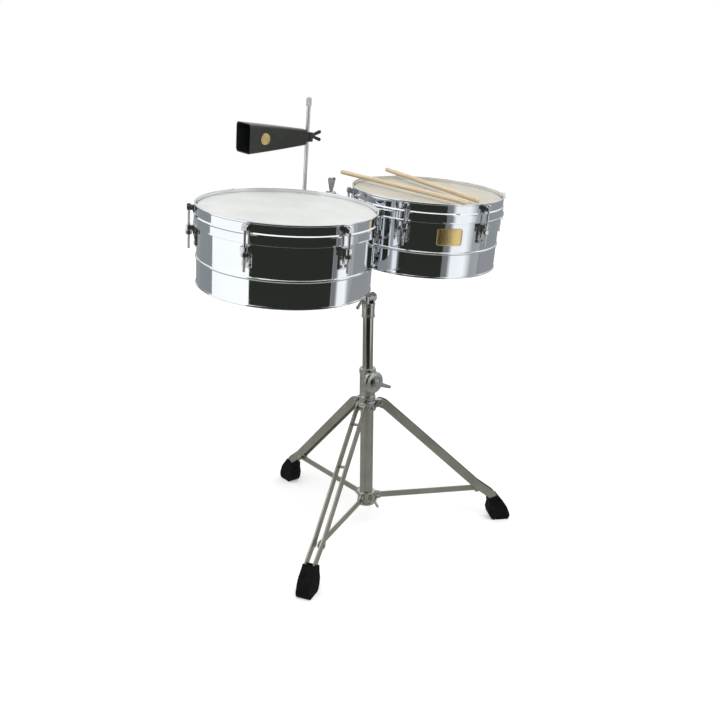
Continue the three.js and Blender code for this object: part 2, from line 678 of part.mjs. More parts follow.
/** One drum on its side of the centre plate: side -1 for the large one, 1 for the small one. */
function buildDrum(head, name, radius, top, side) {
  const drum = new THREE.Group();
  drum.position.set(DRUM_MIDDLE[0] + side * (DRUM_GAP / 2 + radius), DRUM_MIDDLE[1], top);
  head.add(drum);
  piece(drum, `${name}_shell`, shell(radius), "chrome");
  piece(drum, `${name}_head`, drumhead(radius), "head");
  piece(drum, `${name}_hoop`, hoop(radius), "chrome");
  for (let i = 0; i < LUGS; i++) {
    const hook = piece(drum, `${name}_tension_hook_${i + 1}`, tensionHook(radius), "chrome");
    hook.rotation.z = THREE.MathUtils.degToRad(LUG_PHASE_DEG + (360 / LUGS) * i);
  }

  const mounting = new THREE.Group();
  mounting.position.set(...DRUM_MIDDLE, 0);
  head.add(mounting);
  const bottom = top - HOOP_ABOVE - SHELL_DEPTH;
  piece(mounting, `${name}_bracket`, bracket(radius, bottom, side), "chrome");
  const bolt = wingBolt({
    shankR: WING_SHANK_R, shank: TAB_THICK + PLATE_THICK / 2, hubR: 7, hub: 7, span: 24, reach: 17, thick: 3,
  });
  const wing = piece(mounting, `${name}_wing_bolt`, bolt, "standChrome");
  wing.position.set(side * (PLATE_THICK / 2 + TAB_THICK + 2 * FIT), 0, DRUM_PIVOT_Z);
  wing.rotation.z = side > 0 ? 0 : Math.PI;
  return drum;
}

// ---- Cowbell ----

const backY = DRUM_MIDDLE[1] + HOLDER_SETBACK;

function buildBellHolder(head) {
  const under = POST_LEG_Z - POST_R - 8;
  const corners = [
    [0, DRUM_MIDDLE[1] + 6, 0],
    [0, socketFace + HOLDER_BEND + 6, 0],
    [HOLDER_X, backY - 60, 0],
    [HOLDER_X, backY, 0],
    [HOLDER_X, backY, under],
  ];
  const arm = bentBar(HOLDER_R, corners, HOLDER_BEND, 28);
  const eye = block([HOLDER_X - 10, HOLDER_X + 10], [backY - 9, backY + 9], [under - 2, POST_LEG_Z + POST_R + 6]);
  const hole = bar(POST_R + FIT, [HOLDER_X - 11, backY, POST_LEG_Z], [HOLDER_X + 11, backY, POST_LEG_Z]);
  const seat = POST_LEG_Z + POST_R + 6;
  const screwHole = bar(3 + FIT, [HOLDER_X, backY, POST_LEG_Z], [HOLDER_X, backY, seat + 1]);
  piece(head, "bell_holder", cut(join(arm, eye), hole, screwHole), "standChrome");

  const screw = wingBolt({ shankR: 3, shank: 6, hubR: 4.5, hub: 14, span: 12, reach: 30, thick: 4 });
  const mesh = piece(head, "bell_post_screw", screw, "standChrome");
  mesh.position.set(HOLDER_X, backY, seat + FIT);
  mesh.rotation.set(0, -Math.PI / 2, 0);
}

function buildBellPost(head) {
  const ends = [[HOLDER_X + 24, backY, POST_LEG_Z], [POST_X, backY, POST_LEG_Z], [POST_X, backY, POST_TOP - 4]];
  piece(head, "bell_post", bentBar(POST_R, ends, POST_BEND, 24), "standChrome");
  const cap = turned([
    [0, POST_TOP],
    [4.5, POST_TOP],
    [6.3, POST_TOP - 3],
    [6.3, POST_TOP - 20],
    [POST_R + FIT, POST_TOP - 20],
    [POST_R + FIT, POST_TOP - 3.7],
    [0, POST_TOP - 3.7],
  ], ROD_SIDES);
  piece(head, "bell_post_cap", cap, "nylon").position.set(POST_X, backY, 0);
}

/** A rounded box along -X from the given start, whose section grows from one size to another. */
function taperedBox(start, length, [y0, z0], [y1, z1], corner) {
  const outline = roundedRect(1, 1, corner / Math.max(y1, z1));
  const geometry = new THREE.ExtrudeGeometry(outline, { depth: 1, bevelEnabled: false, curveSegments: 4 });
  const place = geometry.attributes.position;
  for (let i = 0; i < place.count; i++) {
    const along = place.getZ(i);
    const y = place.getX(i) * THREE.MathUtils.lerp(y0, y1, along);
    const z = place.getY(i) * THREE.MathUtils.lerp(z0, z1, along);
    place.setXYZ(i, start - along * length, -y, z);
  }
  return geometry;
}

function buildCowbell(head) {
  const clampEnd = POST_X - POST_R - 6;
  const start = clampEnd - FIT;
  const bell = new THREE.Group();
  bell.position.set(0, backY, BELL_Z);
  head.add(bell);
  const thinner = (size) => size.map((s) => s - 2 * BELL_WALL);
  const outside = taperedBox(start, BELL_LENGTH, BELL_END, BELL_MOUTH, 9);
  const hollow = taperedBox(start - BELL_WALL, BELL_LENGTH, thinner(BELL_END), thinner(BELL_MOUTH), 7);
  piece(bell, "cowbell", cut(solid(outside), hollow), "black");

  const face = POST_X + POST_R + 6;
  const clampBody = cut(
    solid(block([clampEnd, face], [-9, 9], [-11, 11])),
    bar(POST_R + FIT, [POST_X, 0, -12], [POST_X, 0, 12]),
    bar(3 + FIT, [POST_X, 0, 2], [face + 1, 0, 2]),
  );
  piece(bell, "bell_clamp", clampBody, "black");
  const wing = wingBolt({ shankR: 3, shank: 5.5, hubR: 5.5, hub: 9, span: 18, reach: 24, thick: 3.5 });
  piece(bell, "bell_wing_bolt", wing, "black").position.set(face + FIT, 0, 2);
}

// ---- Sticks ----

function buildSticks(head, rimTop) {
  STICKS.forEach(({ middle, heading }, i) => {
    const half = STICK_LENGTH / 2;
    const stick = turned([
      [0, -half],
      [STICK_R - 2, -half],
      [STICK_R, -half + 3],
      [STICK_R, half - 3],
      [STICK_R - 2, half],
      [0, half],
    ], 16);
    const mesh = piece(head, `stick_${i + 1}`, stick.rotateY(Math.PI / 2), "wood");
    mesh.position.set(...middle, rimTop + STICK_R + FIT);
    mesh.rotation.z = THREE.MathUtils.degToRad(heading);
  });
}

// ---- The whole ----

function buildTimbales() {
  const stand = new THREE.Group();
  buildPost(stand);
  buildUpperTube(stand);
  buildHeightClamp(stand);
  buildTripod(stand);
  buildTilterBase(stand);

  const head = new THREE.Group();
  head.position.z = TILT_PIVOT_Z;
  head.rotation.x = THREE.MathUtils.degToRad(TILT_DEG);
  stand.add(head);
  buildTilterHead(head);
  buildDrum(head, "large", LARGE_R, LARGE_TOP, -1);
  const small = buildDrum(head, "small", SMALL_R, LARGE_TOP + SMALL_RAISE, 1);
  piece(small, "badge", badge(SMALL_R), "brass");
  buildBellHolder(head);
  buildBellPost(head);
  buildCowbell(head);
  buildSticks(head, LARGE_TOP + SMALL_RAISE);

  stand.updateMatrixWorld(true);
  const box = new THREE.Box3().setFromObject(stand, true);
  const middle = box.getCenter(new THREE.Vector3());
  stand.position.set(-middle.x, -middle.y, -box.min.z);
  const part = new THREE.Group();
  part.name = "timbales";
  part.add(stand);
  return part;
}

export default buildTimbales();
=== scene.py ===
"""Timbales on a folding tripod stand, with a cowbell on its post and two sticks on the small drum.

Shapes are written in millimetres, each in the frame of the piece's own assembly: STAND stands on the floor
on the post's axis, HEAD sits on the tilting bolt with Z along the drums' axis, and each drum has a frame of
its own at the top of its hoop. piece() turns a shape into a Blender object in metres in the row frame.
"""
import json
import math

import bmesh
import bpy
from mathutils import Matrix, Vector


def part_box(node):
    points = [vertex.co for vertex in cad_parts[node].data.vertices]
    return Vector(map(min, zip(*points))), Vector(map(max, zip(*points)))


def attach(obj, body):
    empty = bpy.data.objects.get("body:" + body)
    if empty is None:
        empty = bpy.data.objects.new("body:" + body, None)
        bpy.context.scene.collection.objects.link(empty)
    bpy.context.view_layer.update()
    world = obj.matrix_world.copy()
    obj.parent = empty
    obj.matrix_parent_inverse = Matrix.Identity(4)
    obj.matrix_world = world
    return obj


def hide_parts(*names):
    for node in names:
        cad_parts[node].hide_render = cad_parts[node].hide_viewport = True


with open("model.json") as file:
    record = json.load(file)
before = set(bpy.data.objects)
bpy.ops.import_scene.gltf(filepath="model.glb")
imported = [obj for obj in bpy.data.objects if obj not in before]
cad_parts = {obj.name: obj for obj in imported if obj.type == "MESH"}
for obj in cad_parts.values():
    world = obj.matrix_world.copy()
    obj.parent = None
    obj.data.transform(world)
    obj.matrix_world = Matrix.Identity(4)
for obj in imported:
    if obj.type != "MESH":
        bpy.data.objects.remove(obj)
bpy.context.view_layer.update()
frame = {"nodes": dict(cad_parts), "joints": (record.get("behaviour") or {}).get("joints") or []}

MM = 0.001
FIT = 0.3
JOINTS = {joint["name"]: joint for joint in frame["joints"]}


# ---- Frames ----


def middle(node):
    low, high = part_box(node)
    return (low + high) / 2


def moved(place, x, y, z):
    """A frame moved by millimetres along its own axes."""
    return place @ Matrix.Translation(Vector((x, y, z)) * MM)


def turned(place, degrees, axis):
    """A frame turned about one of its own axes."""
    return place @ Matrix.Rotation(math.radians(degrees), 4, axis)


def extent(node, place):
    """A CAD node's lowest and highest corners along the axes of a frame, in millimetres."""
    inverse = place.inverted()
    points = [(inverse @ vertex.co) / MM for vertex in frame["nodes"][node].data.vertices]
    low = Vector([min(point[axis] for point in points) for axis in range(3)])
    high = Vector([max(point[axis] for point in points) for axis in range(3)])
    return low, high


POST = middle("lower_tube")
PIVOT = middle("tilter_bolt")
DRUM_AXIS = Vector(JOINTS["large_hoop_lift"]["axis"])
STAND = Matrix.Translation((POST.x, POST.y, 0))
TILT = Vector((0, 0, 1)).rotation_difference(DRUM_AXIS).to_matrix().to_4x4()
HEAD = Matrix.Translation((POST.x, PIVOT.y, PIVOT.z)) @ TILT
TUBE_R = extent("lower_tube", STAND)[1].x
UPPER_TUBE_R = extent("upper_tube", STAND)[1].x
SEAT_R = TUBE_R + FIT  # bore of the castings on the lower tube


# ---- Outlines and shapes, in millimetres ----


def rounded(points, radius, steps=4, closed=True):
    """A line of points with its corners rounded, each as far as its two sides allow."""
    points = [Vector(point) for point in points]
    count = len(points)
    line = []
    for i, corner in enumerate(points):
        at_end = not closed and i in (0, count - 1)
        on_axis = closed and len(corner) == 2 and abs(corner.x) < 1e-9
        if at_end or on_axis or radius <= 0:
            line.append(corner)
            continue
        back = points[i - 1] - corner
        ahead = points[(i + 1) % count] - corner
        half = back.angle(ahead) / 2
        reach = min(radius / max(math.tan(half), 1e-3), 0.46 * back.length, 0.46 * ahead.length)
        enter = corner + back.normalized() * reach
        leave = corner + ahead.normalized() * reach
        for step in range(steps + 1):
            t = step / steps
            line.append((1 - t) ** 2 * enter + 2 * t * (1 - t) * corner + t * t * leave)
    return line


def arc(centre, radius, start, end, steps=12):
    """Points on a circle, from one angle to another in degrees."""
    angles = [math.radians(start + (end - start) * i / steps) for i in range(steps + 1)]
    return [Vector((centre[0] + radius * math.cos(a), centre[1] + radius * math.sin(a))) for a in angles]


def strip(line, width, cap_steps=8):
    """The outline of a strip of constant width with round ends."""
    points = [Vector(point) for point in line]
    runs = [(b - a).normalized() for a, b in zip(points, points[1:])]
    normals = [Vector((-run.y, run.x)) for run in runs]
    left, right = [], []
    for i, point in enumerate(points):
        before = normals[max(i - 1, 0)]
        after = normals[min(i, len(normals) - 1)]
        mitre = (before + after).normalized()
        mitre *= width / 2 / mitre.dot(after)
        left.append(point + mitre)
        right.append(point - mitre)

    def cap(centre, run):
        lead = math.degrees(math.atan2(run.y, run.x))
        return arc(centre, width / 2, lead + 90, lead - 90, cap_steps)[1:-1]

    return left + cap(points[-1], runs[-1]) + right[::-1] + cap(points[0], -runs[0])


def lobe(start, start_r, end, end_r, steps=10):
    """The outline round two circles, as of a lever's arm or a wing."""
    start, end = Vector(start), Vector(end)
    run = end - start
    lead = math.degrees(math.atan2(run.y, run.x))
    slant = math.degrees(math.asin((start_r - end_r) / run.length))
    tip = arc(end, end_r, lead - 90 + slant, lead + 90 - slant, steps)
    tail = arc(start, start_r, lead + 90 - slant, lead + 270 + slant, steps)
    return tip + tail


def lathe(section, sides=96):
    """A closed section of radius and height turned about Z."""
    shape = bmesh.new()
    poles = {i: shape.verts.new((0, 0, z)) for i, (r, z) in enumerate(section) if r < 1e-6}
    columns = []
    for side in range(sides):
        turn = 2 * math.pi * side / sides
        column = []
        for i, (r, z) in enumerate(section):
            place = (r * math.cos(turn), r * math.sin(turn), z)
            column.append(poles[i] if i in poles else shape.verts.new(place))
        columns.append(column)
    for side, here in enumerate(columns):
        there = columns[(side + 1) % sides]
        for i in range(len(section)):
            j = (i + 1) % len(section)
            corners = list(dict.fromkeys([here[i], there[i], there[j], here[j]]))
            if len(corners) > 2:
                shape.faces.new(corners)
    return shape


def soft_lathe(section, edge=0.6, sides=64, steps=3):
    """A lathe whose section has rounded corners."""
    return lathe(rounded(section, edge, steps), sides)


def ring(inner, outer, bottom, top, edge=0.6, sides=64):
    return soft_lathe([(inner, bottom), (outer, bottom), (outer, top), (inner, top)], edge, sides)


def rectangle(x, y, edge=0.0, steps=5):
    """The outline between two values of each axis, with rounded corners where edge is given."""
    corners = [(x[0], y[0]), (x[1], y[0]), (x[1], y[1]), (x[0], y[1])]
    return rounded(corners, edge, steps) if edge else corners


def between(rings):
    """A closed shape through rings of the same number of points, flat at both ends."""
    shape = bmesh.new()
    loops = [[shape.verts.new(point) for point in points] for points in rings]
    count = len(loops[0])
    for low, high in zip(loops, loops[1:]):
        for i in range(count):
            j = (i + 1) % count
            shape.faces.new([low[i], low[j], high[j], high[i]])
    shape.faces.new(loops[0][::-1])
    shape.faces.new(loops[-1])
    return shape


def prism(outline, bottom, top):
    """An outline in the XY plane carried along Z."""
    return between([[(x, y, z) for x, y in outline] for z in (bottom, top)])


def upright(outline, thickness, y=0):
    """A plate whose outline is in the XZ plane, with its middle at the given Y."""
    return between([[(x, y + side * thickness / 2, z) for x, z in outline] for side in (1, -1)])


def sideways(outline, thickness, x=0):
    """A plate whose outline is in the YZ plane, with its middle at the given X."""
    return between([[(x + side * thickness / 2, y, z) for y, z in outline] for side in (-1, 1)])


def block(x, y, z):
    return prism(rectangle(x, y), *z)


def sweep(line, radius, sides=20):
    """A round bar along a line of points. radius is one number, or one for each point."""
    line = [Vector(point) for point in line]
    radii = radius if isinstance(radius, list) else [radius] * len(line)
    runs = [(b - a).normalized() for a, b in zip(line, line[1:])]
    side = runs[0].orthogonal().normalized()
    rings = []
    for i, point in enumerate(line):
        before = runs[max(i - 1, 0)]
        after = runs[min(i, len(runs) - 1)]
        along = (before + after).normalized()
        side = (side - along * side.dot(along)).normalized()
        other = along.cross(side)
        turns = [2 * math.pi * k / sides for k in range(sides)]
        rings.append([point + radii[i] * (math.cos(t) * side + math.sin(t) * other) for t in turns])
    return between(rings)


def rod(start, end, radius, edge=0.4, sides=32):
    """A straight round bar with chamfered ends."""
    start, end = Vector(start), Vector(end)
    step = (end - start).normalized() * edge
    radii = [radius - edge, radius, radius, radius - edge]
    return sweep([start, start + step, end - step, end], radii, sides)


def drill(start, end, radius, sides=32):
    """A round cutter with almost square ends."""
    return rod(start, end, radius, 0.01, sides)


def dome(start, end, radius, sides=28, steps=6):
    """A domed screw or rivet head standing from one point to another."""
    start, end = Vector(start), Vector(end)
    run = end - start
    shares = [math.sin(math.pi / 2 * i / steps) for i in range(steps)]
    line = [start] + [start + run * (0.35 + 0.65 * share) for share in shares]
    radii = [radius] + [radius * math.sqrt(1 - 0.94 * share * share) for share in shares]
    return sweep(line, radii, sides)


def polygon(radius, sides):
    turns = [2 * math.pi * i / sides for i in range(sides)]
    return [(radius * math.cos(turn), radius * math.sin(turn)) for turn in turns]


def nut(radius, bottom, top, bore=0.0, sides=6):
    """A nut or bolt head along Z: a prism cut by the cone that chamfers its corners."""
    body = prism(polygon(radius, sides), bottom, top)
    slope = (top - bottom) * 0.16
    flat = radius * math.cos(math.pi / sides)
    section = [
        (0, bottom),
        (flat, bottom),
        (radius, bottom + slope),
        (radius, top - slope),
        (flat, top),
        (0, top),
    ]
    made = boolean(body, [lathe(section, 48)], "INTERSECT")
    return cut(made, drill((0, 0, bottom - 1), (0, 0, top + 1), bore)) if bore else made


def shifted(shape, matrix):
    bmesh.ops.transform(shape, matrix=matrix, verts=shape.verts)
    if matrix.determinant() < 0:
        bmesh.ops.reverse_faces(shape, faces=shape.faces)
    return shape


def about(shape, degrees, axis="Z"):
    return shifted(shape, Matrix.Rotation(math.radians(degrees), 4, axis))


def shift(shape, x, y, z):
    return shifted(shape, Matrix.Translation((x, y, z)))


def temporary(shape):
    bmesh.ops.recalc_face_normals(shape, faces=shape.faces)
    mesh = bpy.data.meshes.new("temporary")
    shape.to_mesh(mesh)
    shape.free()
    made = bpy.data.objects.new("temporary", mesh)
    bpy.context.scene.collection.objects.link(made)
    return made


def boolean(base, tools, operation):
    """The union, difference or intersection of shapes, as a new shape."""
    objects = [temporary(shape) for shape in (base, *tools)]
    for tool in objects[1:]:
        change = objects[0].modifiers.new("change", "BOOLEAN")
        change.operation = operation
        change.solver = "EXACT"
        change.object = tool
    made = bmesh.new()
    made.from_object(objects[0], bpy.context.evaluated_depsgraph_get())
    for used in objects:
        mesh = used.data
        bpy.data.objects.remove(used)
        bpy.data.meshes.remove(mesh)
    bmesh.ops.remove_doubles(made, verts=made.verts, dist=1e-4)
    return made


def join(*shapes):
    return boolean(shapes[0], shapes[1:], "UNION") if len(shapes) > 1 else shapes[0]


def cut(body, *tools):
    return boolean(body, tools, "DIFFERENCE")


# ---- Materials ----


def colour_ramp(material, factor, stops):
    """Adds a ramp of (position, colour) stops to a material and returns its colour."""
    node = material.node_tree.nodes.new("ShaderNodeValToRGB")
    elements = node.color_ramp.elements
    while len(elements) < len(stops):
        elements.new(0.5)
    for element, (position, colour) in zip(elements, stops):
        element.position = position
        element.color = (*colour, 1)
    material.node_tree.links.new(factor, node.inputs["Fac"])
    return node.outputs["Color"]


class Recipe:
    """A node material: one Principled shader, with texture nodes in the piece's own metres."""

    def __init__(self, name, **sockets):
        self.material = bpy.data.materials.new(name)
        self.material.use_nodes = True
        self.nodes = self.material.node_tree.nodes
        self.links = self.material.node_tree.links
        self.shader = self.nodes["Principled BSDF"]
        self.place = self.nodes.new("ShaderNodeTexCoord").outputs["Object"]
        for socket, value in sockets.items():
            self.shader.inputs[socket.replace("_", " ")].default_value = value

    def noise(self, scale, detail, stretch=None, distortion=0.0):
        """A noise, drawn out along an axis where stretch scales that axis down."""
        node = self.nodes.new("ShaderNodeTexNoise")
        node.inputs["Scale"].default_value = scale
        node.inputs["Detail"].default_value = detail
        node.inputs["Distortion"].default_value = distortion
        place = self.place
        if stretch:
            mapping = self.nodes.new("ShaderNodeMapping")
            mapping.inputs["Scale"].default_value = stretch
            self.links.new(place, mapping.inputs["Vector"])
            place = mapping.outputs["Vector"]
        self.links.new(place, node.inputs["Vector"])
        return node.outputs["Fac"]

    def between(self, factor, low, high, start=0.3, end=0.7):
        node = self.nodes.new("ShaderNodeMapRange")
        self.links.new(factor, node.inputs["Value"])
        node.inputs["From Min"].default_value = start
        node.inputs["From Max"].default_value = end
        node.inputs["To Min"].default_value = low
        node.inputs["To Max"].default_value = high
        return node.outputs["Result"]

    def ramp(self, factor, *stops):
        return colour_ramp(self.material, factor, stops)

    def bump(self, height, distance):
        node = self.nodes.new("ShaderNodeBump")
        node.inputs["Distance"].default_value = distance
        node.inputs["Strength"].default_value = 1.0
        self.links.new(height, node.inputs["Height"])
        self.links.new(node.outputs["Normal"], self.shader.inputs["Normal"])

    def drive(self, socket, value):
        self.links.new(value, self.shader.inputs[socket])


def surface(name, tint, colours, grain, rough, relief, depth, **sockets):
    """A material with a noise each for its colour, its roughness and its relief, whose depth is in metres."""
    made = Recipe(name, **sockets)
    made.drive("Base Color", made.ramp(made.noise(*tint), *colours))
    made.drive("Roughness", made.between(made.noise(*grain), *rough))
    made.bump(made.noise(*relief), depth)
    return made.material


def tube_chrome(name, smooth, rough):
    """Older plating of the tubes and strips: warmer, duller, with fine marks along the metal."""
    colours = (0.3, (0.43, 0.42, 0.365)), (0.7, (0.55, 0.54, 0.475))
    lines = (900, 3, (1, 1, 0.02))
    return surface(name, (20, 5), colours, lines, (smooth, rough), lines, 0.00001, Metallic=1.0)


def satin_chrome(name, dark, light, smooth, rough):
    """Pale plating with a haze over it, on the cowbell's post and the drums' castings."""
    lines = (700, 3, (1, 1, 0.05))
    colours = (0.3, dark), (0.7, light)
    return surface(name, lines, colours, lines, (smooth, rough), lines, 0.00001, Metallic=1.0)


def head_film(name, worn, clean):
    """Coated plastic drumhead, off-white, with a sprayed grain and faint grey play marks."""
    colours = (0.3, worn), (0.62, clean)
    wear = (16, 8, None, 0.6)
    return surface(name, wear, colours, (300, 4), (0.34, 0.5), (1600, 3), 0.00006, Specular_IOR_Level=0.45)


def nylon(name, dark, light):
    colours = (0.3, dark), (0.7, light)
    grain, relief = (500, 4), (1500, 3)
    return surface(name, (150, 4), colours, grain, (0.38, 0.55), relief, 0.00005, Specular_IOR_Level=0.5)


# Bright plating of the drums: nearly a mirror, with faint haze and finger marks
CHROME = surface(
    "mirror_chrome",
    (7, 3),
    [(0.35, (0.80, 0.825, 0.85)), (0.65, (0.88, 0.895, 0.91))],
    (45, 6),
    (0.03, 0.085),
    (9, 1),
    0.00004,
    Metallic=1.0,
)
TUBE = tube_chrome("stand_chrome", 0.28, 0.42)
SLIDING_TUBE = tube_chrome("sliding_tube_chrome", 0.1, 0.18)
# Plated castings, with the skin of a casting under the plating
CAST = surface(
    "cast_chrome",
    (60, 5),
    [(0.3, (0.44, 0.45, 0.41)), (0.7, (0.60, 0.61, 0.56))],
    (120, 5),
    (0.22, 0.38),
    (160, 4),
    0.00012,
    Metallic=1.0,
)
SATIN = satin_chrome("satin_chrome", (0.80, 0.81, 0.82), (0.90, 0.91, 0.92), 0.38, 0.5)
HAZED = satin_chrome("hazed_chrome", (0.70, 0.72, 0.73), (0.82, 0.83, 0.84), 0.16, 0.28)
FILM = head_film("head_film", (0.535, 0.55, 0.535), (0.605, 0.615, 0.595))
WARM_FILM = head_film("warm_head_film", (0.43, 0.405, 0.33), (0.51, 0.485, 0.41))
RUBBER = surface(
    "rubber",
    (90, 6),
    [(0.3, (0.002, 0.002, 0.0018)), (0.75, (0.007, 0.007, 0.006))],
    (240, 5),
    (0.55, 0.82),
    (1100, 4),
    0.00015,
    Specular_IOR_Level=0.12,
)
BLACK_NYLON = nylon("black_nylon", (0.012, 0.012, 0.013), (0.03, 0.03, 0.032))
GREY_PLASTIC = nylon("grey_plastic", (0.30, 0.30, 0.31), (0.42, 0.42, 0.43))
# Black powder coat of the cowbell, with a light orange peel under a clear gloss
ENAMEL = surface(
    "enamel",
    (35, 6),
    [(0.3, (0.005, 0.007, 0.006)), (0.7, (0.013, 0.016, 0.012))],
    (260, 5),
    (0.3, 0.48),
    (420, 2),
    0.00012,
    Coat_Weight=0.5,
    Coat_Roughness=0.28,
    Specular_IOR_Level=0.4,
)
BRUSHED = (1400, 3, (1, 1, 0.03))
GOLD = surface(
    "gold",
    BRUSHED,
    [(0.3, (0.66, 0.47, 0.17)), (0.7, (0.86, 0.68, 0.33))],
    BRUSHED,
    (0.2, 0.36),
    BRUSHED,
    0.00003,
    Metallic=1.0,
)
# Pale hickory, with its grain along the stick
PORES = (1500, 3, (1, 1, 0.03))
WOOD = surface(
    "wood",
    (260, 5, (1, 1, 0.045), 0.5),
    [(0.25, (0.40, 0.28, 0.15)), (0.5, (0.58, 0.47, 0.30)), (0.75, (0.66, 0.56, 0.40))],
    PORES,
    (0.38, 0.6),
    PORES,
    0.00008,
    Specular_IOR_Level=0.4,
    Coat_Weight=0.25,
    Coat_Roughness=0.25,
)


# ---- Pieces ----


def piece(name, shape, body, material, place=STAND, replaces=(), bevel=0.0, segments=2, slot=None):
    """Makes a Blender object of a shape, and lets it ride on a CAD body."""
    bmesh.ops.recalc_face_normals(shape, faces=shape.faces)
    mesh = bpy.data.meshes.new(name)
    shape.to_mesh(mesh)
    shape.free()
    mesh.transform(Matrix.Scale(MM, 4))
    mesh.materials.append(material)
    mesh.shade_smooth()
    mesh.set_sharp_from_angle(angle=math.radians(38))
    made = bpy.data.objects.new(name, mesh)
    bpy.context.scene.collection.objects.link(made)
    made.matrix_world = place
    if bevel:
        change = made.modifiers.new("edges", "BEVEL")
        change.width = bevel * MM
        change.segments = segments
        change.limit_method = "ANGLE"
        change.angle_limit = math.radians(32)
    normals = made.modifiers.new("normals", "WEIGHTED_NORMAL")
    normals.keep_sharp = not bevel
    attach(made, body)
    if replaces:
        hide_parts(*replaces)
    return made


def skin(node, shape, body, material, place=STAND, **look):
    """Makes the piece that shows in place of a CAD node."""
    return piece(f"{node}_visual", shape, body, material, place, [node], **look)


def wing_bolt(shank_r, shank, hub_r, hub, span, reach, thick):
    """A cast wing bolt along +X, its seat at x = 0 and its shank behind."""
    wings = []
    for side in (1, -1):
        outline = lobe((hub * 0.45, side * hub_r * 0.3), thick * 0.95, (reach, side * span / 2), thick * 1.15)
        wings.append(upright(outline, thick))
    section = [(0, 0), (hub_r, 0), (hub_r, hub * 0.55), (hub_r * 0.78, hub), (0, hub)]
    collar = about(soft_lathe(section, 1.0, 40), 90, "Y")
    return join(rod((-shank, 0, 0), (hub / 2, 0, 0), shank_r), collar, *wings)


# Post and height clamp

TUBE_WALL = 1.6
BOLT_R = 4
SHANK_R = 3.8  # of the larger wing bolts
BOSS_DEPTH = 14.5


def build_post():
    low, high = extent("lower_tube", STAND)
    bore = TUBE_R - TUBE_WALL
    skin("lower_tube", ring(bore, TUBE_R, low.z, high.z), "post", TUBE)
    cap_low, cap_high = extent("tube_end_cap", STAND)
    cap_section = [
        (0, cap_low.z),
        (TUBE_R - 1, cap_low.z),
        (TUBE_R, cap_low.z + 1.5),
        (TUBE_R, cap_high.z - 12),
        (bore - FIT, cap_high.z - 12),
        (bore - FIT, cap_high.z),
        (0, cap_high.z),
    ]
    skin("tube_end_cap", soft_lathe(cap_section, 0.6, 64), "post", RUBBER)
    bush_low, bush_high = extent("tube_bush", STAND)
    bush_section = [
        (UPPER_TUBE_R + FIT / 2, bush_low.z),
        (bore - FIT / 2, bush_low.z),
        (bore - FIT / 2, high.z + FIT),
        (TUBE_R, high.z + FIT),
        (TUBE_R, bush_high.z),
        (UPPER_TUBE_R + FIT / 2, bush_high.z),
    ]
    skin("tube_bush", soft_lathe(bush_section, 0.5, 64), "post", BLACK_NYLON)


def build_upper_tube():
    low, high = extent("upper_tube", STAND)
    tube = ring(UPPER_TUBE_R - TUBE_WALL, UPPER_TUBE_R, low.z, high.z)
    skin("upper_tube", tube, "upper_tube", SLIDING_TUBE)


def build_height_clamp():
    low, high = extent("height_clamp", STAND)
    outer = SEAT_R + 3.8
    shoulder = extent("tube_bush", STAND)[1].z + FIT
    boss_z = extent("height_lever", STAND)[1].z - 10
    face = -low.y
    boss_r = (high.x - low.x) / 2
    section = [
        (SEAT_R, low.z),
        (outer, low.z),
        (outer, low.z + 9),
        (outer - 1.2, low.z + 11),
        (outer - 1.2, shoulder - 9),
        (outer, shoulder - 7),
        (outer, high.z - 3),
        (outer - 2.5, high.z),
        (UPPER_TUBE_R + FIT, high.z),
        (UPPER_TUBE_R + FIT, shoulder),
        (SEAT_R, shoulder),
    ]
    boss_section = [
        (0, 0),
        (boss_r, 0),
        (boss_r, 10),
        (boss_r - 3, 13),
        (17, BOSS_DEPTH),
        (15, BOSS_DEPTH),
        (14, 13.3),
        (0, 13.3),
    ]
    boss = soft_lathe(boss_section, 1.8, 72, 4)
    shift(about(boss, 90, "X"), 0, -face + BOSS_DEPTH, boss_z)
    cheek = block((-17, 17), (-face + 10, -4), (boss_z - 20, boss_z + 20))
    bore = drill((0, 0, low.z - 1), (0, 0, shoulder), SEAT_R, 64)
    hole = drill((0, 0, boss_z), (0, -face - 1, boss_z), BOLT_R + FIT)
    body = cut(join(soft_lathe(section, 0.8, 72), boss, cheek), bore, hole)
    skin("height_clamp", body, "post", CAST, bevel=0.8)

    lever_low, lever_high = extent("height_lever", STAND)
    place = moved(STAND, 0, 0, boss_z)
    seat = -face - FIT
    knob = soft_lathe([(0, 0), (10, 0), (10, 6), (8, 9), (0, 9)], 1.2, 48)
    shift(about(knob, 90, "X"), 0, seat, 0)
    tip = (lever_high.x - 3.5, lever_low.z - boss_z + 3.5)
    arm = upright(lobe((0, 0), 6.4, tip, 3.6, 14), 4, seat - 6)
    shank = rod((0, -SEAT_R - FIT, 0), (0, seat - 2, 0), BOLT_R)
    skin("height_lever", join(knob, arm, shank), "height_lever", CAST, place, bevel=0.9, segments=3)


# Tripod

LEG_ANGLES = (90, 210, 330)
LEG_WIDTH = 20
LEG_STRIP = 3.5
LEG_GAP = 17
LEG_HALF = LEG_GAP / 2 + LEG_STRIP
BRACE_WIDTH = 15
BRACE_STRIP = 3
PIN_R = 2.5
SHOULDER_RISE = (11, -4.5)
KNEE_RISE = (0, 11)  # from the brace's rivet to the bend in the leg above it
ANKLE_RISE = (-17, 49)  # from the leg's end to the bend where it turns down into its foot
FOOT_SLEEVE = 47
FOOT_BULGE = 4
HUB_R = 21.5


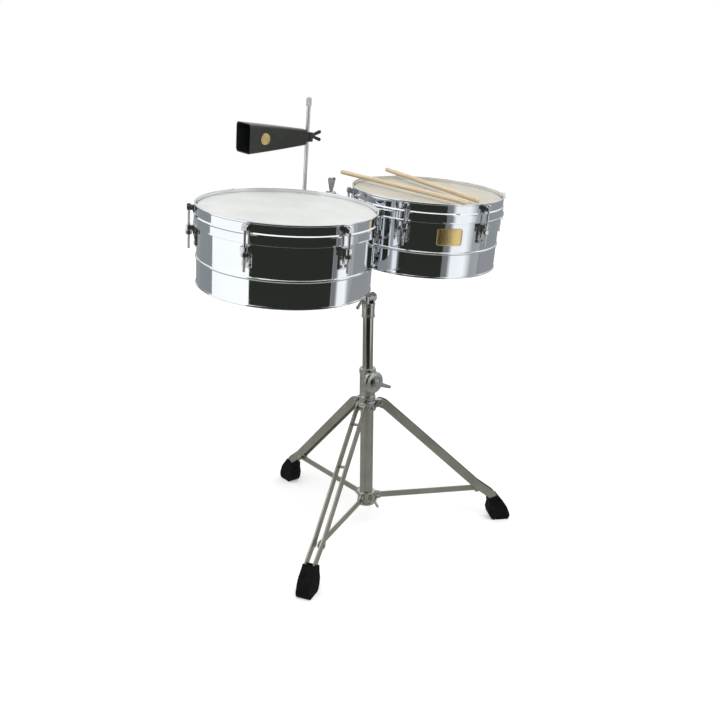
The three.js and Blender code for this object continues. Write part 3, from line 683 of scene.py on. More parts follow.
def leg_points(number, place):
    """The points a leg is drawn through, in the leg's own plane of distance from the post and height."""
    leg_low, leg_high = extent(f"leg_{number}", place)
    brace_low, brace_high = extent(f"brace_{number}", place)
    pin_low, pin_high = extent(f"leg_pin_{number}", place)
    half = BRACE_WIDTH / 2
    pivot = Vector((pin_low.x + pin_high.x, pin_low.z + pin_high.z)) / 2
    rivet = Vector((brace_high.x - half, brace_high.z - half))
    toe = Vector((leg_high.x - LEG_WIDTH / 2, leg_low.z + LEG_WIDTH / 2))
    return {
        "pivot": pivot,
        "shoulder": pivot + Vector(SHOULDER_RISE),
        "knee": rivet + Vector(KNEE_RISE),
        "rivet": rivet,
        "ankle": toe + Vector(ANKLE_RISE),
        "toe": toe,
        "collar": Vector((brace_low.x + half, brace_low.z + half)),
    }


def across(point, radius, half):
    return rod((point[0], -half, point[1]), (point[0], half, point[1]), radius, 0.3)


def side_dome(point, side, start, end, radius):
    """A rivet's head on one side of a leg or ear, between two distances from its middle."""
    return dome((point[0], side * start, point[1]), (point[0], side * end, point[1]), radius)


def leg_shape(points):
    """Two flat strips side by side, riveted to spacers, with the ears that hold the brace below them."""
    pivot, shoulder, knee, rivet = (points[name] for name in ("pivot", "shoulder", "knee", "rivet"))
    line = rounded([pivot, shoulder, knee, points["ankle"], points["toe"]], 22, 8, closed=False)
    outline = strip(line, LEG_WIDTH, 12)
    ear = lobe(knee, LEG_WIDTH / 2 - 1.5, rivet, 7.4)
    shapes = []
    for side in (-1, 1):
        y = side * (LEG_GAP + LEG_STRIP) / 2
        shapes += [upright(outline, LEG_STRIP, y), upright(ear, LEG_STRIP, y)]
    back = (points["ankle"] - points["toe"]).normalized()
    shapes.append(upright(strip([points["toe"] + back * 25, points["toe"]], LEG_WIDTH - 2), LEG_GAP + 1))
    down = (knee - shoulder).normalized()
    spacers = [shoulder + down * 40, shoulder + down * 150]
    shapes += [across(spacer, 3.2, LEG_HALF - 1) for spacer in spacers]
    for side in (-1, 1):
        for point, radius in ((spacers[0], 3.6), (rivet, 5)):
            shapes.append(side_dome(point, side, LEG_HALF - 0.5, LEG_HALF + 2, radius))
    return cut(join(*shapes), across(pivot, PIN_R + FIT, LEG_HALF + 1))


def foot_shape(points, low, high):
    """A moulded rubber boot, narrow at its mouth and broad at its sole, hollow where the leg's end sits."""
    back = (points["ankle"] - points["toe"]).normalized()
    out = Vector((back.y, -back.x))
    reach = LEG_WIDTH / 2 + 2.6
    mouth = points["toe"] + back * FOOT_SLEEVE
    tip = high.x - FOOT_BULGE
    heel = low.x + 3 * FOOT_BULGE
    outline = [
        (heel, 0),
        (tip, 0),
        (tip + FOOT_BULGE, 9),
        (tip + FOOT_BULGE - 1, 17),
        (tip - 5, 36),
        mouth + out * reach,
        mouth - out * reach,
        (heel - 2.2 * FOOT_BULGE, 42),
        (heel - 3 * FOOT_BULGE, 27),
        (heel - 2 * FOOT_BULGE, 12),
    ]
    half = LEG_HALF + FIT + 4
    body = upright(rounded(outline, 7, 6), 2 * half)
    shoulders = []
    for side in (-1, 1):
        wedge = [(side * (half + 1), 74), (side * (half + 1), 34), (side * (half - 3.2), 74)]
        shoulders.append(shift(sideways(wedge, 90), mouth.x, 0, 0))
    lip_at = mouth - back * 3.4
    lip_corners = [lip_at + out * (reach + 1) + back * 3, lip_at - out * (reach + 1) + back * 3]
    lip_corners += [lip_at - out * (reach + 1) - back * 3, lip_at + out * (reach + 1) - back * 3]
    lip = upright(rounded(lip_corners, 1.6, 3), 2 * half - 3.4)
    line = [points["knee"], points["ankle"], points["toe"]]
    socket = upright(strip(line, LEG_WIDTH + 2 * FIT), 2 * (LEG_HALF + FIT))
    starts = [heel + ahead for ahead in (8, 16, 24, 32)]
    grooves = [block((x, x + 2), (-half - 3, half + 3), (-1, 1.2)) for x in starts]
    return cut(join(cut(body, *shoulders), lip), socket, *grooves)


def build_legs():
    for number, angle in enumerate(LEG_ANGLES, 1):
        place = turned(STAND, angle, "Z")
        points = leg_points(number, place)
        pivot, rivet, collar_point = points["pivot"], points["rivet"], points["collar"]
        leg = leg_shape(points)
        skin(f"leg_{number}", leg, f"leg_{number}", TUBE, place, bevel=0.5)
        foot = foot_shape(points, *extent(f"foot_{number}", place))
        skin(f"foot_{number}", foot, f"leg_{number}", RUBBER, place, bevel=1.2, segments=3)
        pin_end = LEG_HALF + FIT
        heads = [side_dome(pivot, side, pin_end, pin_end + 2.2, PIN_R + 2.4) for side in (-1, 1)]
        pin = join(across(pivot, PIN_R, pin_end + 1), *heads)
        skin(f"leg_pin_{number}", pin, "post", CAST, place)
        bar = upright(strip([collar_point, rivet], BRACE_WIDTH, 12), BRACE_STRIP)
        bar = cut(bar, across(collar_point, PIN_R + FIT, BRACE_STRIP))
        skin(f"brace_{number}", bar, f"brace_{number}", TUBE, place, bevel=0.6)


def build_hub():
    low, high = extent("leg_hub", STAND)
    outer = HUB_R
    pivot = leg_points(1, turned(STAND, LEG_ANGLES[0], "Z"))["pivot"]
    section = [
        (SEAT_R - 2, low.z),
        (outer - 1.5, low.z),
        (outer, low.z + 2),
        (outer, high.z - 5),
        (outer - 2, high.z - 3),
        (outer - 2, high.z),
        (SEAT_R - 2, high.z),
    ]
    ears = []
    holes = []
    for angle in LEG_ANGLES:
        outline = lobe((TUBE_R, pivot[1] - 2), 10, pivot, 8.5)
        ears.append(about(upright(outline, LEG_GAP - 2), angle))
        holes.append(about(across(pivot, PIN_R + FIT, LEG_GAP), angle))
    screw_low, screw_high = extent("hub_screw", STAND)
    screw_z = (screw_low.z + screw_high.z) / 2
    bore = drill((0, 0, low.z - 1), (0, 0, high.z + 1), SEAT_R, 64)
    hole = drill((0, 0, screw_z), (0, -outer - 1, screw_z), PIN_R + FIT)
    body = cut(join(soft_lathe(section, 0.8, 72), *ears), bore, hole, *holes)
    skin("leg_hub", body, "post", CAST, bevel=0.7)
    head = dome((0, -outer - FIT, screw_z), (0, -outer - 5, screw_z), 5)
    shank = rod((0, -SEAT_R - FIT, screw_z), (0, -outer - 2, screw_z), PIN_R)
    slit = block((-0.6, 0.6), (-outer - 6, -outer - 3.6), (screw_z - 6, screw_z + 6))
    skin("hub_screw", cut(join(head, shank), slit), "post", CAST)


def build_collar():
    corners = extent("brace_collar", STAND)
    collar_r = SEAT_R + 6.3
    low, high = (corner.z for corner in corners)
    point = leg_points(1, turned(STAND, LEG_ANGLES[0], "Z"))["collar"]
    centre = point[1]
    section = [
        (SEAT_R - 2, low),
        (collar_r - 1.5, low),
        (collar_r, low + 1.5),
        (collar_r, low + 5),
        (collar_r - 1.5, low + 6.5),
        (collar_r - 1.5, high - 6.5),
        (collar_r, high - 5),
        (collar_r, high - 1.5),
        (collar_r - 1.5, high),
        (SEAT_R - 2, high),
    ]
    ear_thick = 2.5
    ear_y = BRACE_STRIP / 2 + FIT * 1.5 + ear_thick / 2
    shapes = []
    for angle in LEG_ANGLES:
        for side in (-1, 1):
            ear = upright(lobe((SEAT_R + 3, centre), 10, point, 8.5), ear_thick, side * ear_y)
            rivet = side_dome(point, side, ear_y + 1, ear_y + 3, PIN_R + 1.4)
            shapes += [about(ear, angle), about(rivet, angle)]
        shapes.append(about(across(point, PIN_R, ear_y), angle))
    seat = collar_r + 6
    boss = rod((0, -SEAT_R - 1, centre), (0, -seat, centre), 8, 1)
    bore = drill((0, 0, low - 1), (0, 0, high + 1), SEAT_R, 64)
    hole = drill((0, 0, centre), (0, -seat - 1, centre), SHANK_R + FIT)
    body = cut(join(soft_lathe(section, 0.7, 72), boss, *shapes), bore, hole)
    skin("brace_collar", body, "collar", CAST, bevel=0.5)
    place = turned(moved(STAND, 0, -seat - FIT, centre), -90, "Z")
    bolt = wing_bolt(SHANK_R, seat - SEAT_R, 6.5, 7, 26, 16, 3)
    skin("collar_wing_bolt", bolt, "collar_wing_bolt", CAST, place, bevel=0.8, segments=3)


# Tilting head

EYE_R = 12
FORK_INNER = 6.6
FORK_EAR = 5
PLATE_THICK = 6
TAB_R = 12
TAB_THICK = 4
HOLDER_R = 6.35
FACE_REACH = 20  # from the drums' middle line to the tilting block's far face


def build_tilter():
    low, _ = extent("tilter_base", STAND)
    pivot_z = PIVOT.z / MM
    bore_r = UPPER_TUBE_R + FIT
    sleeve_r = bore_r + 3
    roof = pivot_z - EYE_R - FIT
    section = [
        (bore_r, low.z),
        (sleeve_r, low.z),
        (sleeve_r, low.z + 5),
        (sleeve_r - 1, low.z + 6),
        (sleeve_r - 1, roof - 8),
        (sleeve_r, roof - 7),
        (sleeve_r, roof),
        (0, roof),
        (0, roof - 5),
        (bore_r, roof - 5),
    ]
    ears = []
    for side in (-1, 1):
        outline = lobe((0, roof - 3), 11.5, (0, pivot_z), 11)
        ears.append(sideways(outline, FORK_EAR, side * (FORK_INNER + FORK_EAR / 2)))
    span = FORK_INNER + FORK_EAR + 1
    hole = drill((-span, 0, pivot_z), (span, 0, pivot_z), BOLT_R + FIT)
    clear = block((-FORK_INNER, FORK_INNER), (-sleeve_r - 1, sleeve_r + 1), (roof, roof + 40))
    socket = drill((0, 0, low.z - 1), (0, 0, roof - 5), bore_r, 64)
    body = cut(join(soft_lathe(section, 0.6, 72), *ears), hole, clear, socket)
    skin("tilter_base", body, "tilter_base", CAST, bevel=0.6)

    place = moved(STAND, 0, 0, pivot_z)
    seat = FORK_INNER + FORK_EAR + FIT
    crown = [(0.93, 4.6), (0.74, 7.4), (0.42, 9.6), (0, 10.5)]  # share of the radius, and height
    cap_section = [(0, 0), (EYE_R, 0), (EYE_R, 2.5), *((EYE_R * share, z) for share, z in crown)]
    cap = about(soft_lathe(cap_section, 2.2, 64, 4), 90, "Y")
    bolt = join(shift(cap, seat, 0, 0), rod((-seat - 9, 0, 0), (seat + 1, 0, 0), BOLT_R))
    skin("tilter_bolt", bolt, "tilter_base", CHROME, place, slot="stand_chrome")

    grip = about(nut(9, 0, 8), -90, "Y")
    ball_section = [(0, -4.6), (2.6, -4.2), (4.6, -1.6), (4.6, 1.6), (2.6, 4.2), (0, 4.6)]
    ball = shift(soft_lathe(ball_section, 2, 32), -seat - 20, 0, -20)
    lever = join(shift(grip, -seat, 0, 0), rod((-seat - 4, 0, 0), (-seat - 20, 0, -20), 3.2), ball)
    lever = cut(lever, drill((-seat + 1, 0, 0), (-seat - 9.3, 0, 0), BOLT_R + FIT))
    skin("tilter_lever", lever, "tilter_lever", CAST, place, bevel=0.5)


def build_tilter_head():
    plate_low, plate_high = extent("centre_plate", HEAD)
    plate_x = (plate_low.x + plate_high.x) / 2
    screw_low, screw_high = extent("plate_screw", HEAD)
    screw_y = (screw_low.y + screw_high.y) / 2
    face = extent("tilter_head", HEAD)[1].y
    middle_y = face - FACE_REACH
    half = FORK_INNER - FIT
    arm = block((-half, half), (0, face), (-8, 8))
    collar = block((-half - 3, half + 3), (middle_y + 14, face), (-10, 10))
    body = join(rod((-half, 0, 0), (half, 0, 0), EYE_R - FIT, 0.5, 56), arm, collar)
    room_half = PLATE_THICK / 2 + FIT
    room = block((plate_x - room_half, plate_x + room_half), (0, middle_y + 13), (-20, 20))
    cutters = [
        drill((-20, 0, 0), (20, 0, 0), BOLT_R + FIT),
        drill((-20, screw_y, 0), (20, screw_y, 0), PIN_R + FIT),
        drill((0, middle_y, 0), (0, face + 1, 0), HOLDER_R + FIT),
        room,
    ]
    skin("tilter_head", cut(body, *cutters), "tilting_head", CAST, HEAD, bevel=0.8)

    pivot_z = plate_high.z - TAB_R
    outline = lobe((middle_y - 8, 0), TAB_R, (middle_y, pivot_z), TAB_R, 16)
    centre = cut(
        sideways(outline, PLATE_THICK, plate_x),
        drill((-30, middle_y, pivot_z), (20, middle_y, pivot_z), SHANK_R + FIT),
        drill((-30, screw_y, 0), (20, screw_y, 0), PIN_R + FIT),
        block((plate_x - 9, plate_x + 9), (middle_y + 12.7, middle_y + 60), (-20, 12)),
    )
    skin("centre_plate", centre, "tilting_head", CAST, HEAD, bevel=0.7)
    hex_head = shift(about(nut(6, 0, 4), 90, "Y"), screw_low.x, screw_y, 0)
    screw = join(hex_head, rod((screw_low.x + 3, screw_y, 0), (screw_high.x, screw_y, 0), PIN_R))
    skin("plate_screw", screw, "tilting_head", CAST, HEAD)
    return pivot_z, middle_y, plate_x


# Drums

HOOP_LIP = 7.6
SHELL_WALL = 2
BEAD_DROP = 115
SHELL_FOOT = -174
HOOP_ABOVE = 9
HOOP_HEIGHT = 44.5
HOOP_STEP = 24
LUGS = 6
LUG_PHASE = 33.5
LUG_STANDOFF = 16
LUG_WIDTH = 22
LUG_HEIGHT = 48
HOOK_R = 2.8
HOOK_LENGTH = 78
DRUM_SIDES = 256
HALF_GAP = 18  # from the middle between the drums to each shell
RING_TOP = -HOOP_STEP - 1.8  # of the flesh ring, under the hoop's step
LUG_TOP = -HOOP_HEIGHT - 1.5


def shell_shape(radius):
    inner = radius - SHELL_WALL
    groove = HOOP_HEIGHT + 12
    foot = [(inner, SHELL_FOOT + 0.5), (radius + 0.4, SHELL_FOOT), (radius + 1.6, SHELL_FOOT + 1.6)]
    section = [
        *rounded(foot, 0.8, 3, closed=False),
        (radius + 1.1, SHELL_FOOT + 3.2),
        (radius, SHELL_FOOT + 4.4),
        (radius, -BEAD_DROP - 3.4),
        *arc((radius - 0.3, -BEAD_DROP), 2.7, -68, 68, 10),
        (radius, -BEAD_DROP + 3.4),
        (radius, -groove),
        (radius, -HOOP_ABOVE - 1),
        (radius - 1, -HOOP_ABOVE),
        (inner, -HOOP_ABOVE - 1),
        (inner, -BEAD_DROP + 4),
        *arc((inner - 0.6, -BEAD_DROP), 2.2, 60, -60, 6),
        (inner, -BEAD_DROP - 4),
    ]
    return lathe(section, DRUM_SIDES)


def hoop_shape(radius):
    section = [
        (radius + 1.8, 0),
        (radius + 6, 0),
        (radius + 6, -3),
        (radius + 3.8, -3.8),
        (radius + 3.8, -HOOP_STEP + 3),
        (radius + 6.8, -HOOP_STEP + 0.4),
        (radius + 6.2, -HOOP_STEP - 2.4),
        (radius + 6.2, -HOOP_HEIGHT + 3),
        (radius + HOOP_LIP, -HOOP_HEIGHT + 0.6),
        (radius + 6.6, -HOOP_HEIGHT),
        (radius + 4.6, -HOOP_HEIGHT + 0.4),
        (radius + 4.6, -HOOP_STEP - 1.5),
        (radius + 1.8, -HOOP_STEP - 1.5),
    ]
    return soft_lathe(section, 1.1, DRUM_SIDES, 4)


def film_shape(radius):
    """The film, pulled flat over the shell's edge and down to its ring."""
    top = -HOOP_ABOVE + 1.3
    under = top - 1
    bend = 2.4
    outside = [(radius * share, top) for share in (0.25, 0.5, 0.75, 0.9)]
    outside += arc((radius + 1.3 - bend, top - bend), bend, 90, 0, 8)
    inside = arc((radius + 0.3 - 1.4, under - 1.4), 1.4, 0, 90, 6)
    inside += [(radius * share, under) for share in (0.9, 0.75, 0.5, 0.25)]
    section = [(0, top), *outside, (radius + 1.3, RING_TOP), (radius + 0.3, RING_TOP), *inside, (0, under)]
    return lathe(section, DRUM_SIDES)


def lug_shape(radius):
    """The lug bracket of one tension rod, facing +X: a plate on the shell with a drilled ear and a rib."""
    top = LUG_TOP
    bottom = top - LUG_HEIGHT
    half = LUG_WIDTH / 2
    axis = radius + LUG_STANDOFF
    ear_top = top - 2
    plate = sideways(rectangle((-half, half), (bottom, top), 5), 3.6, radius + 1.2)
    ear_face = rectangle((radius, axis + 6), (-half + 3, half - 3), 5)
    ear = prism(ear_face, ear_top - 10, ear_top)
    rib_face = [
        (radius, ear_top - 4),
        (axis - 5, ear_top - 4),
        (axis - 7, ear_top - 12),
        (radius + 3, bottom + 10),
        (radius, bottom + 10),
    ]
    rib = upright(rounded(rib_face, 3, 3), 5)
    hole = drill((axis, 0, ear_top - 12), (axis, 0, ear_top + 2), HOOK_R + 2 * FIT)
    groove = block((radius + 2.2, radius + 4), (-half + 2.5, half - 2.5), (bottom + 3, bottom + 5))
    return cut(join(plate, ear, rib), hole, groove)


def lug_screw_shape(radius, z, y):
    face = radius + 3
    head = dome((face, y, z), (face + 2.6, y, z), 3.4)
    return cut(head, block((face + 1.4, face + 4), (y - 4, y + 4), (z - 0.5, z + 0.5)))


def hook_shape(radius):
    """A claw over the hoop's step, with its threaded rod and the square head that holds it down."""
    axis = radius + LUG_STANDOFF
    seat = -HOOP_STEP + 3.1
    nose = radius + 4.1
    side = [
        (nose, seat + 16),
        (nose, seat),
        (nose + 3.6, seat),
        (nose + 4.4, seat + 4.6),
        (axis + 4.5, seat + 5),
        (axis + 4.5, seat + 13),
        (axis - 4, seat + 16),
    ]
    claw = upright(rounded(side, 1.6, 3), 12)
    thread = []
    top = seat + 6
    bottom = seat - HOOK_LENGTH
    start = bottom + 26
    pitch = 1.6
    for i in range(int((start - bottom) / pitch)):
        z = start - i * pitch
        thread += [(HOOK_R - 0.35, z), (HOOK_R, z - pitch / 2)]
    section = [(0, top), (HOOK_R, top), (HOOK_R, start + 1), *thread, (HOOK_R - 0.6, bottom), (0, bottom)]
    shank = shift(lathe(section, 20), axis, 0, 0)
    return claw, shank, axis, seat


def bracket_shape(radius, bottom, side, pivot_z):
    """The bracket bolted to a shell, with the tab that is clamped to the centre plate."""
    tab_x = PLATE_THICK / 2 + FIT
    shelf = bottom + 4
    half = 25
    pad = sideways(rectangle((-half, half), (shelf, shelf + 50), 7), 8, HALF_GAP + 2)
    ledge = block((tab_x, HALF_GAP + 4), (-half + 1, half - 1), (shelf, shelf + 4))
    tab = sideways(lobe((0, shelf), TAB_R + 1, (0, pivot_z), TAB_R, 16), TAB_THICK, tab_x + TAB_THICK / 2)
    ribs = []
    for y in (-15, 15):
        foot = [(tab_x + 1, shelf + 1), (HALF_GAP, shelf + 1)]
        outline = [*foot, (HALF_GAP, shelf + 22), (HALF_GAP - 3, shelf + 22)]
        ribs.append(upright(outline, 3, y))
    middle_x = HALF_GAP + radius
    room = drill((middle_x, 0, shelf - 40), (middle_x, 0, shelf + 120), radius + FIT, 192)
    hole = drill((0, 0, pivot_z), (HALF_GAP + 4, 0, pivot_z), SHANK_R + FIT)
    over = block((-5, tab_x + 8), (-60, 60), (shelf + 4.01, shelf + 120))
    tab = cut(tab, over)
    body = cut(join(pad, ledge, tab, *ribs), room, hole)
    return body if side > 0 else about(body, 180)


def badge_shape(radius):
    """A blank plate bent round the shell, with a raised rim."""
    width, height, corner = 62, 40, 6
    columns = 48

    def bent(outline, depth):
        points = []
        for across_shell, z in outline:
            turn = across_shell / radius
            reach = radius + depth
            points.append((reach * math.cos(turn), reach * math.sin(turn), z))
        return points

    def frame_line():
        line = rectangle((-width / 2, width / 2), (-height / 2, height / 2), corner, 6)
        spread = []
        for a, b in zip(line, line[1:] + line[:1]):
            parts = max(1, int((b - a).length / (width / columns)))
            spread += [a + (b - a) * (k / parts) for k in range(parts)]
        return spread

    def shrunk(line, share_x, share_z):
        return [Vector((x * share_x, z * share_z)) for x, z in line]

    base = frame_line()
    step = shrunk(base, 1 - 3 / width, 1 - 3 / height)
    floor_line = shrunk(base, 1 - 4.5 / width, 1 - 4.5 / height)
    rings = [bent(shrunk(base, share, share), FIT) for share in (0.08, 0.35, 0.65)]
    rings += [bent(base, FIT), bent(base, FIT + 1.1), bent(step, FIT + 1.4), bent(floor_line, FIT + 0.8)]
    rings += [bent(shrunk(floor_line, share, share), FIT + 0.8) for share in (0.8, 0.55, 0.3, 0.08)]
    return between(rings)


def build_drum(name, side, pivot_z, middle_y, plate_x):
    low, high = extent(f"{name}_hoop", HEAD)
    radius = (high.x - low.x) / 2 - HOOP_LIP
    place = moved(HEAD, (low.x + high.x) / 2, (low.y + high.y) / 2, high.z)
    drum, hoop = f"{name}_drum", f"{name}_hoop"
    skin(f"{name}_shell", shell_shape(radius), drum, CHROME, place)
    film = FILM if side < 0 else WARM_FILM
    piece(f"{name}_film_visual", film_shape(radius), drum, film, place, [f"{name}_head"])
    flesh = ring(radius + 1.4, radius + 4.3, RING_TOP - 9, RING_TOP, 0.8, DRUM_SIDES)
    piece(f"{name}_head_ring_visual", flesh, drum, CAST, place, slot="drum_chrome")
    skin(f"{name}_hoop", hoop_shape(radius), hoop, CHROME, place)
    for lug in range(LUGS):
        number = lug + 1
        spot = turned(place, LUG_PHASE + 360 / LUGS * lug, "Z")
        piece(f"{name}_lug_{number}", lug_shape(radius), drum, HAZED, spot, bevel=0.7, segments=3)
        for screw, z in enumerate((LUG_TOP - 24, LUG_TOP - 41), 1):
            for hand, y in (("a", -6.5), ("b", 6.5)):
                screw_name = f"{name}_lug_screw_{number}_{screw}{hand}"
                piece(screw_name, lug_screw_shape(radius, z, y), drum, CAST, spot, slot="drum_chrome")
        claw, shank, axis, seat = hook_shape(radius)
        hook_node = f"{name}_tension_hook_{number}"
        piece(f"{name}_claw_{number}", claw, hoop, HAZED, spot, [hook_node], bevel=0.9, segments=3)
        piece(f"{name}_tension_rod_{number}", shank, hoop, HAZED, spot)
        head_place = moved(spot, axis, 0, 0)
        square = nut(6.2, seat + 12, seat + 18.4, sides=4)
        piece(f"{name}_rod_head_{number}", about(square, 45), hoop, HAZED, head_place, bevel=0.5)
        ear_under = LUG_TOP - 12
        washer = ring(HOOK_R + 0.5, 7, ear_under - 1.5, ear_under - 0.3, 0.3, 40)
        piece(f"{name}_washer_{number}", washer, drum, CHROME, head_place)
        hex_nut = nut(6.8, ear_under - 10.5, ear_under - 1.8, HOOK_R + 0.4)
        piece(f"{name}_tension_nut_{number}", hex_nut, drum, HAZED, head_place)
    mounting = moved(HEAD, plate_x, middle_y, 0)
    bottom = high.z + SHELL_FOOT
    body = bracket_shape(radius, bottom, side, pivot_z)
    skin(f"{name}_bracket", body, drum, CHROME, mounting, bevel=0.6)
    for z in (bottom + 18, bottom + 40):
        for y in (-16, 16):
            shape = dome((0, 0, 0), (-3.4, 0, 0), 5)
            shape = cut(shape, block((-5, -1.8), (-5, 5), (-0.6, 0.6)))
            shape = shift(shape, HALF_GAP - 2.1, y, z)
            shape = shape if side > 0 else about(shape, 180)
            screw_name = f"{name}_bracket_screw_{int(z - bottom)}_{'a' if y < 0 else 'b'}"
            piece(screw_name, shape, drum, CAST, mounting, slot="drum_chrome")
    bolt_place = moved(mounting, side * (PLATE_THICK / 2 + TAB_THICK + 2 * FIT), 0, pivot_z)
    bolt_place = bolt_place if side > 0 else turned(bolt_place, 180, "Z")
    bolt = wing_bolt(SHANK_R, TAB_THICK + PLATE_THICK / 2, 7, 7, 24, 17, 3)
    skin(f"{name}_wing_bolt", bolt, f"{name}_wing_bolt", CAST, bolt_place, bevel=0.8, segments=3)
    return place, radius


def build_badge(place, radius):
    low, high = extent("badge", place)
    turn = math.degrees(math.atan2((low.y + high.y) / 2, (low.x + high.x) / 2))
    spot = moved(turned(place, turn, "Z"), 0, 0, (low.z + high.z) / 2)
    skin("badge", badge_shape(radius), "small_drum", GOLD, spot)


# Cowbell

HOLDER_BEND = 24
BELL_POST_R = 4.76
BELL_BULGE = 1.2
BELL_END = (29, 36)  # width and height of its closed end
SCREW_R = 3


def build_bell_stand():
    _, high = extent("bell_holder", HEAD)
    face = extent("tilter_head", HEAD)[1].y
    middle_y = face - FACE_REACH
    x, y = high.x - 10, high.y - 9
    leg_z = high.z - BELL_POST_R - 6
    under = leg_z - BELL_POST_R - 8
    corners = [(0, middle_y + 6, 0), (0, face + HOLDER_BEND + 6, 0), (x, y - 60, 0), (x, y, 0), (x, y, under)]
    arm = sweep(rounded(corners, HOLDER_BEND, 14, closed=False), HOLDER_R, 28)
    eye = sideways(rectangle((y - 9, y + 9), (under - 2, high.z), 5), 20, x)
    seam = ring(HOLDER_R - 1, HOLDER_R + 1.6, under - 8, under - 1, 1)
    hole = drill((x - 11, y, leg_z), (x + 11, y, leg_z), BELL_POST_R + FIT)
    screw_hole = drill((x, y, leg_z), (x, y, high.z + 1), SCREW_R + FIT)
    body = cut(join(arm, eye, shift(seam, x, y, 0)), hole, screw_hole)
    skin("bell_holder", body, "tilting_head", CAST, HEAD, bevel=0.7)
    place = turned(moved(HEAD, x, y, high.z + FIT), -90, "Y")
    screw = wing_bolt(SCREW_R, 6, 4.5, 14, 12, 30, 4)
    skin("bell_post_screw", screw, "bell_post_screw", CAST, place, bevel=0.9, segments=3)

    post_low, post_high = extent("bell_post", HEAD)
    post_x = post_low.x + BELL_POST_R
    ends = [(post_high.x, y, leg_z), (post_x, y, leg_z), (post_x, y, post_high.z)]
    post = sweep(rounded(ends, 14, 12, closed=False), BELL_POST_R, 28)
    skin("bell_post", post, "bell_post", SATIN, HEAD, bevel=0.5)
    cap_low, cap_high = extent("bell_post_cap", HEAD)
    bore = BELL_POST_R + FIT
    cap = [
        (0, cap_high.z),
        (4.2, cap_high.z - 0.2),
        (6.3, cap_high.z - 3),
        (6.3, cap_low.z),
        (bore, cap_low.z),
        (bore, cap_high.z - 3.7),
        (0, cap_high.z - 3.7),
    ]
    cap_place = moved(HEAD, post_x, y, 0)
    skin("bell_post_cap", soft_lathe(cap, 1, 40), "bell_post", GREY_PLASTIC, cap_place)
    return post_x, y


def bell_half_width(mouth, share):
    """Half the bell's width at a share of its length from its closed end."""
    return (BELL_END[0] + (mouth[0] - BELL_END[0]) * share + BELL_BULGE * math.sin(math.pi * share)) / 2


def bell_ring(x, size, corner, shrink=0.0):
    half_y, half_z = size[0] / 2 - shrink, size[1] / 2 - shrink
    return [(x, y, z) for y, z in rectangle((-half_y, half_y), (-half_z, half_z), corner, 6)]


def cowbell_shape(start, length, mouth, wall):
    """A folded steel bell: rings out to the mouth, round its lip and back inside to the closed end."""
    steps = 14

    def size(share, bulge=0.0):
        swell = bulge * math.sin(math.pi * share)
        return [a + (b - a) * share + swell for a, b in zip(BELL_END, mouth)]

    outside = []
    for k in range(steps + 1):
        corner = 6.5 + 3 * k / steps
        outside.append(bell_ring(start - length * k / steps, size(k / steps, BELL_BULGE), corner))
    lip = [bell_ring(start - length - 0.8, size(1), 9, wall / 2)]
    inside = []
    for k in range(steps, 0, -1):
        share = k / steps
        x = start - length * share - (wall if k == 1 else 0)
        inside.append(bell_ring(x, size(share, BELL_BULGE), 5 + 2.5 * share, wall))
    first = bell_ring(start + 0.01, size(0), 5.5, 1.6)
    return between([first, *outside, *lip, *inside])


def build_cowbell(post_x, y):
    low, high = extent("cowbell", HEAD)
    place = moved(HEAD, 0, y, (low.z + high.z) / 2)
    length = high.x - low.x
    mouth = (high.y - low.y, high.z - low.z)
    bell = cowbell_shape(high.x, length - 0.8, mouth, 2)
    skin("cowbell", bell, "cowbell", ENAMEL, place)
    line = []
    for k in range(9):
        share = 0.03 + 0.95 * k / 8
        line.append((high.x - length * share, bell_half_width(mouth, share) - 0.5, 0))
    seam = sweep(line, [0.9] + [1.4] * 7 + [0.9], 12)
    piece("cowbell_seam", seam, "cowbell", ENAMEL, place)
    clamp_low, clamp_high = extent("bell_clamp", place)
    outline = rectangle((-11, 11), (clamp_low.x, clamp_high.x), 3, 4)
    body = between([[(x, side * 9, z) for z, x in outline] for side in (-1, 1)])
    jaw = block((post_x - 1, post_x + 1), (-10, -2), (-12, 12))
    screw_z = 2
    body = cut(
        body,
        drill((post_x, 0, -13), (post_x, 0, 13), BELL_POST_R + FIT),
        drill((post_x, 0, screw_z), (clamp_high.x + 1, 0, screw_z), SCREW_R + FIT),
        jaw,
    )
    skin("bell_clamp", body, "cowbell", ENAMEL, place, bevel=0.8)
    wing_place = moved(place, clamp_high.x + FIT, 0, screw_z)
    wing = wing_bolt(SCREW_R, 5.5, 5.5, 9, 18, 24, 3.5)
    skin("bell_wing_bolt", wing, "bell_wing_bolt", ENAMEL, wing_place, bevel=0.8, segments=3)
    return place, high, length, mouth


def build_bell_disc(place, high, length, mouth):
    """A plain round gilt disc on the bell's front, without any mark."""
    share = 0.74
    half = bell_half_width(mouth, share)
    slope = math.degrees(math.atan2((mouth[0] - BELL_END[0]) / 2, length))
    rim = [(13, 0), (13, 0.5), (12.2, 0.9), (10.6, 0.9), (10, 0.55)]
    section = [(0, 0), *rim, (7.4, 0.55), (7, 0.8), (0, 0.8)]
    disc = soft_lathe(section, 0.2, 64, 2)
    spot = moved(place, high.x - length * share, -half - 0.05, 0)
    spot = turned(turned(spot, slope, "Z"), 90, "X")
    piece("cowbell_disc", disc, "cowbell", GOLD, spot)


# Sticks


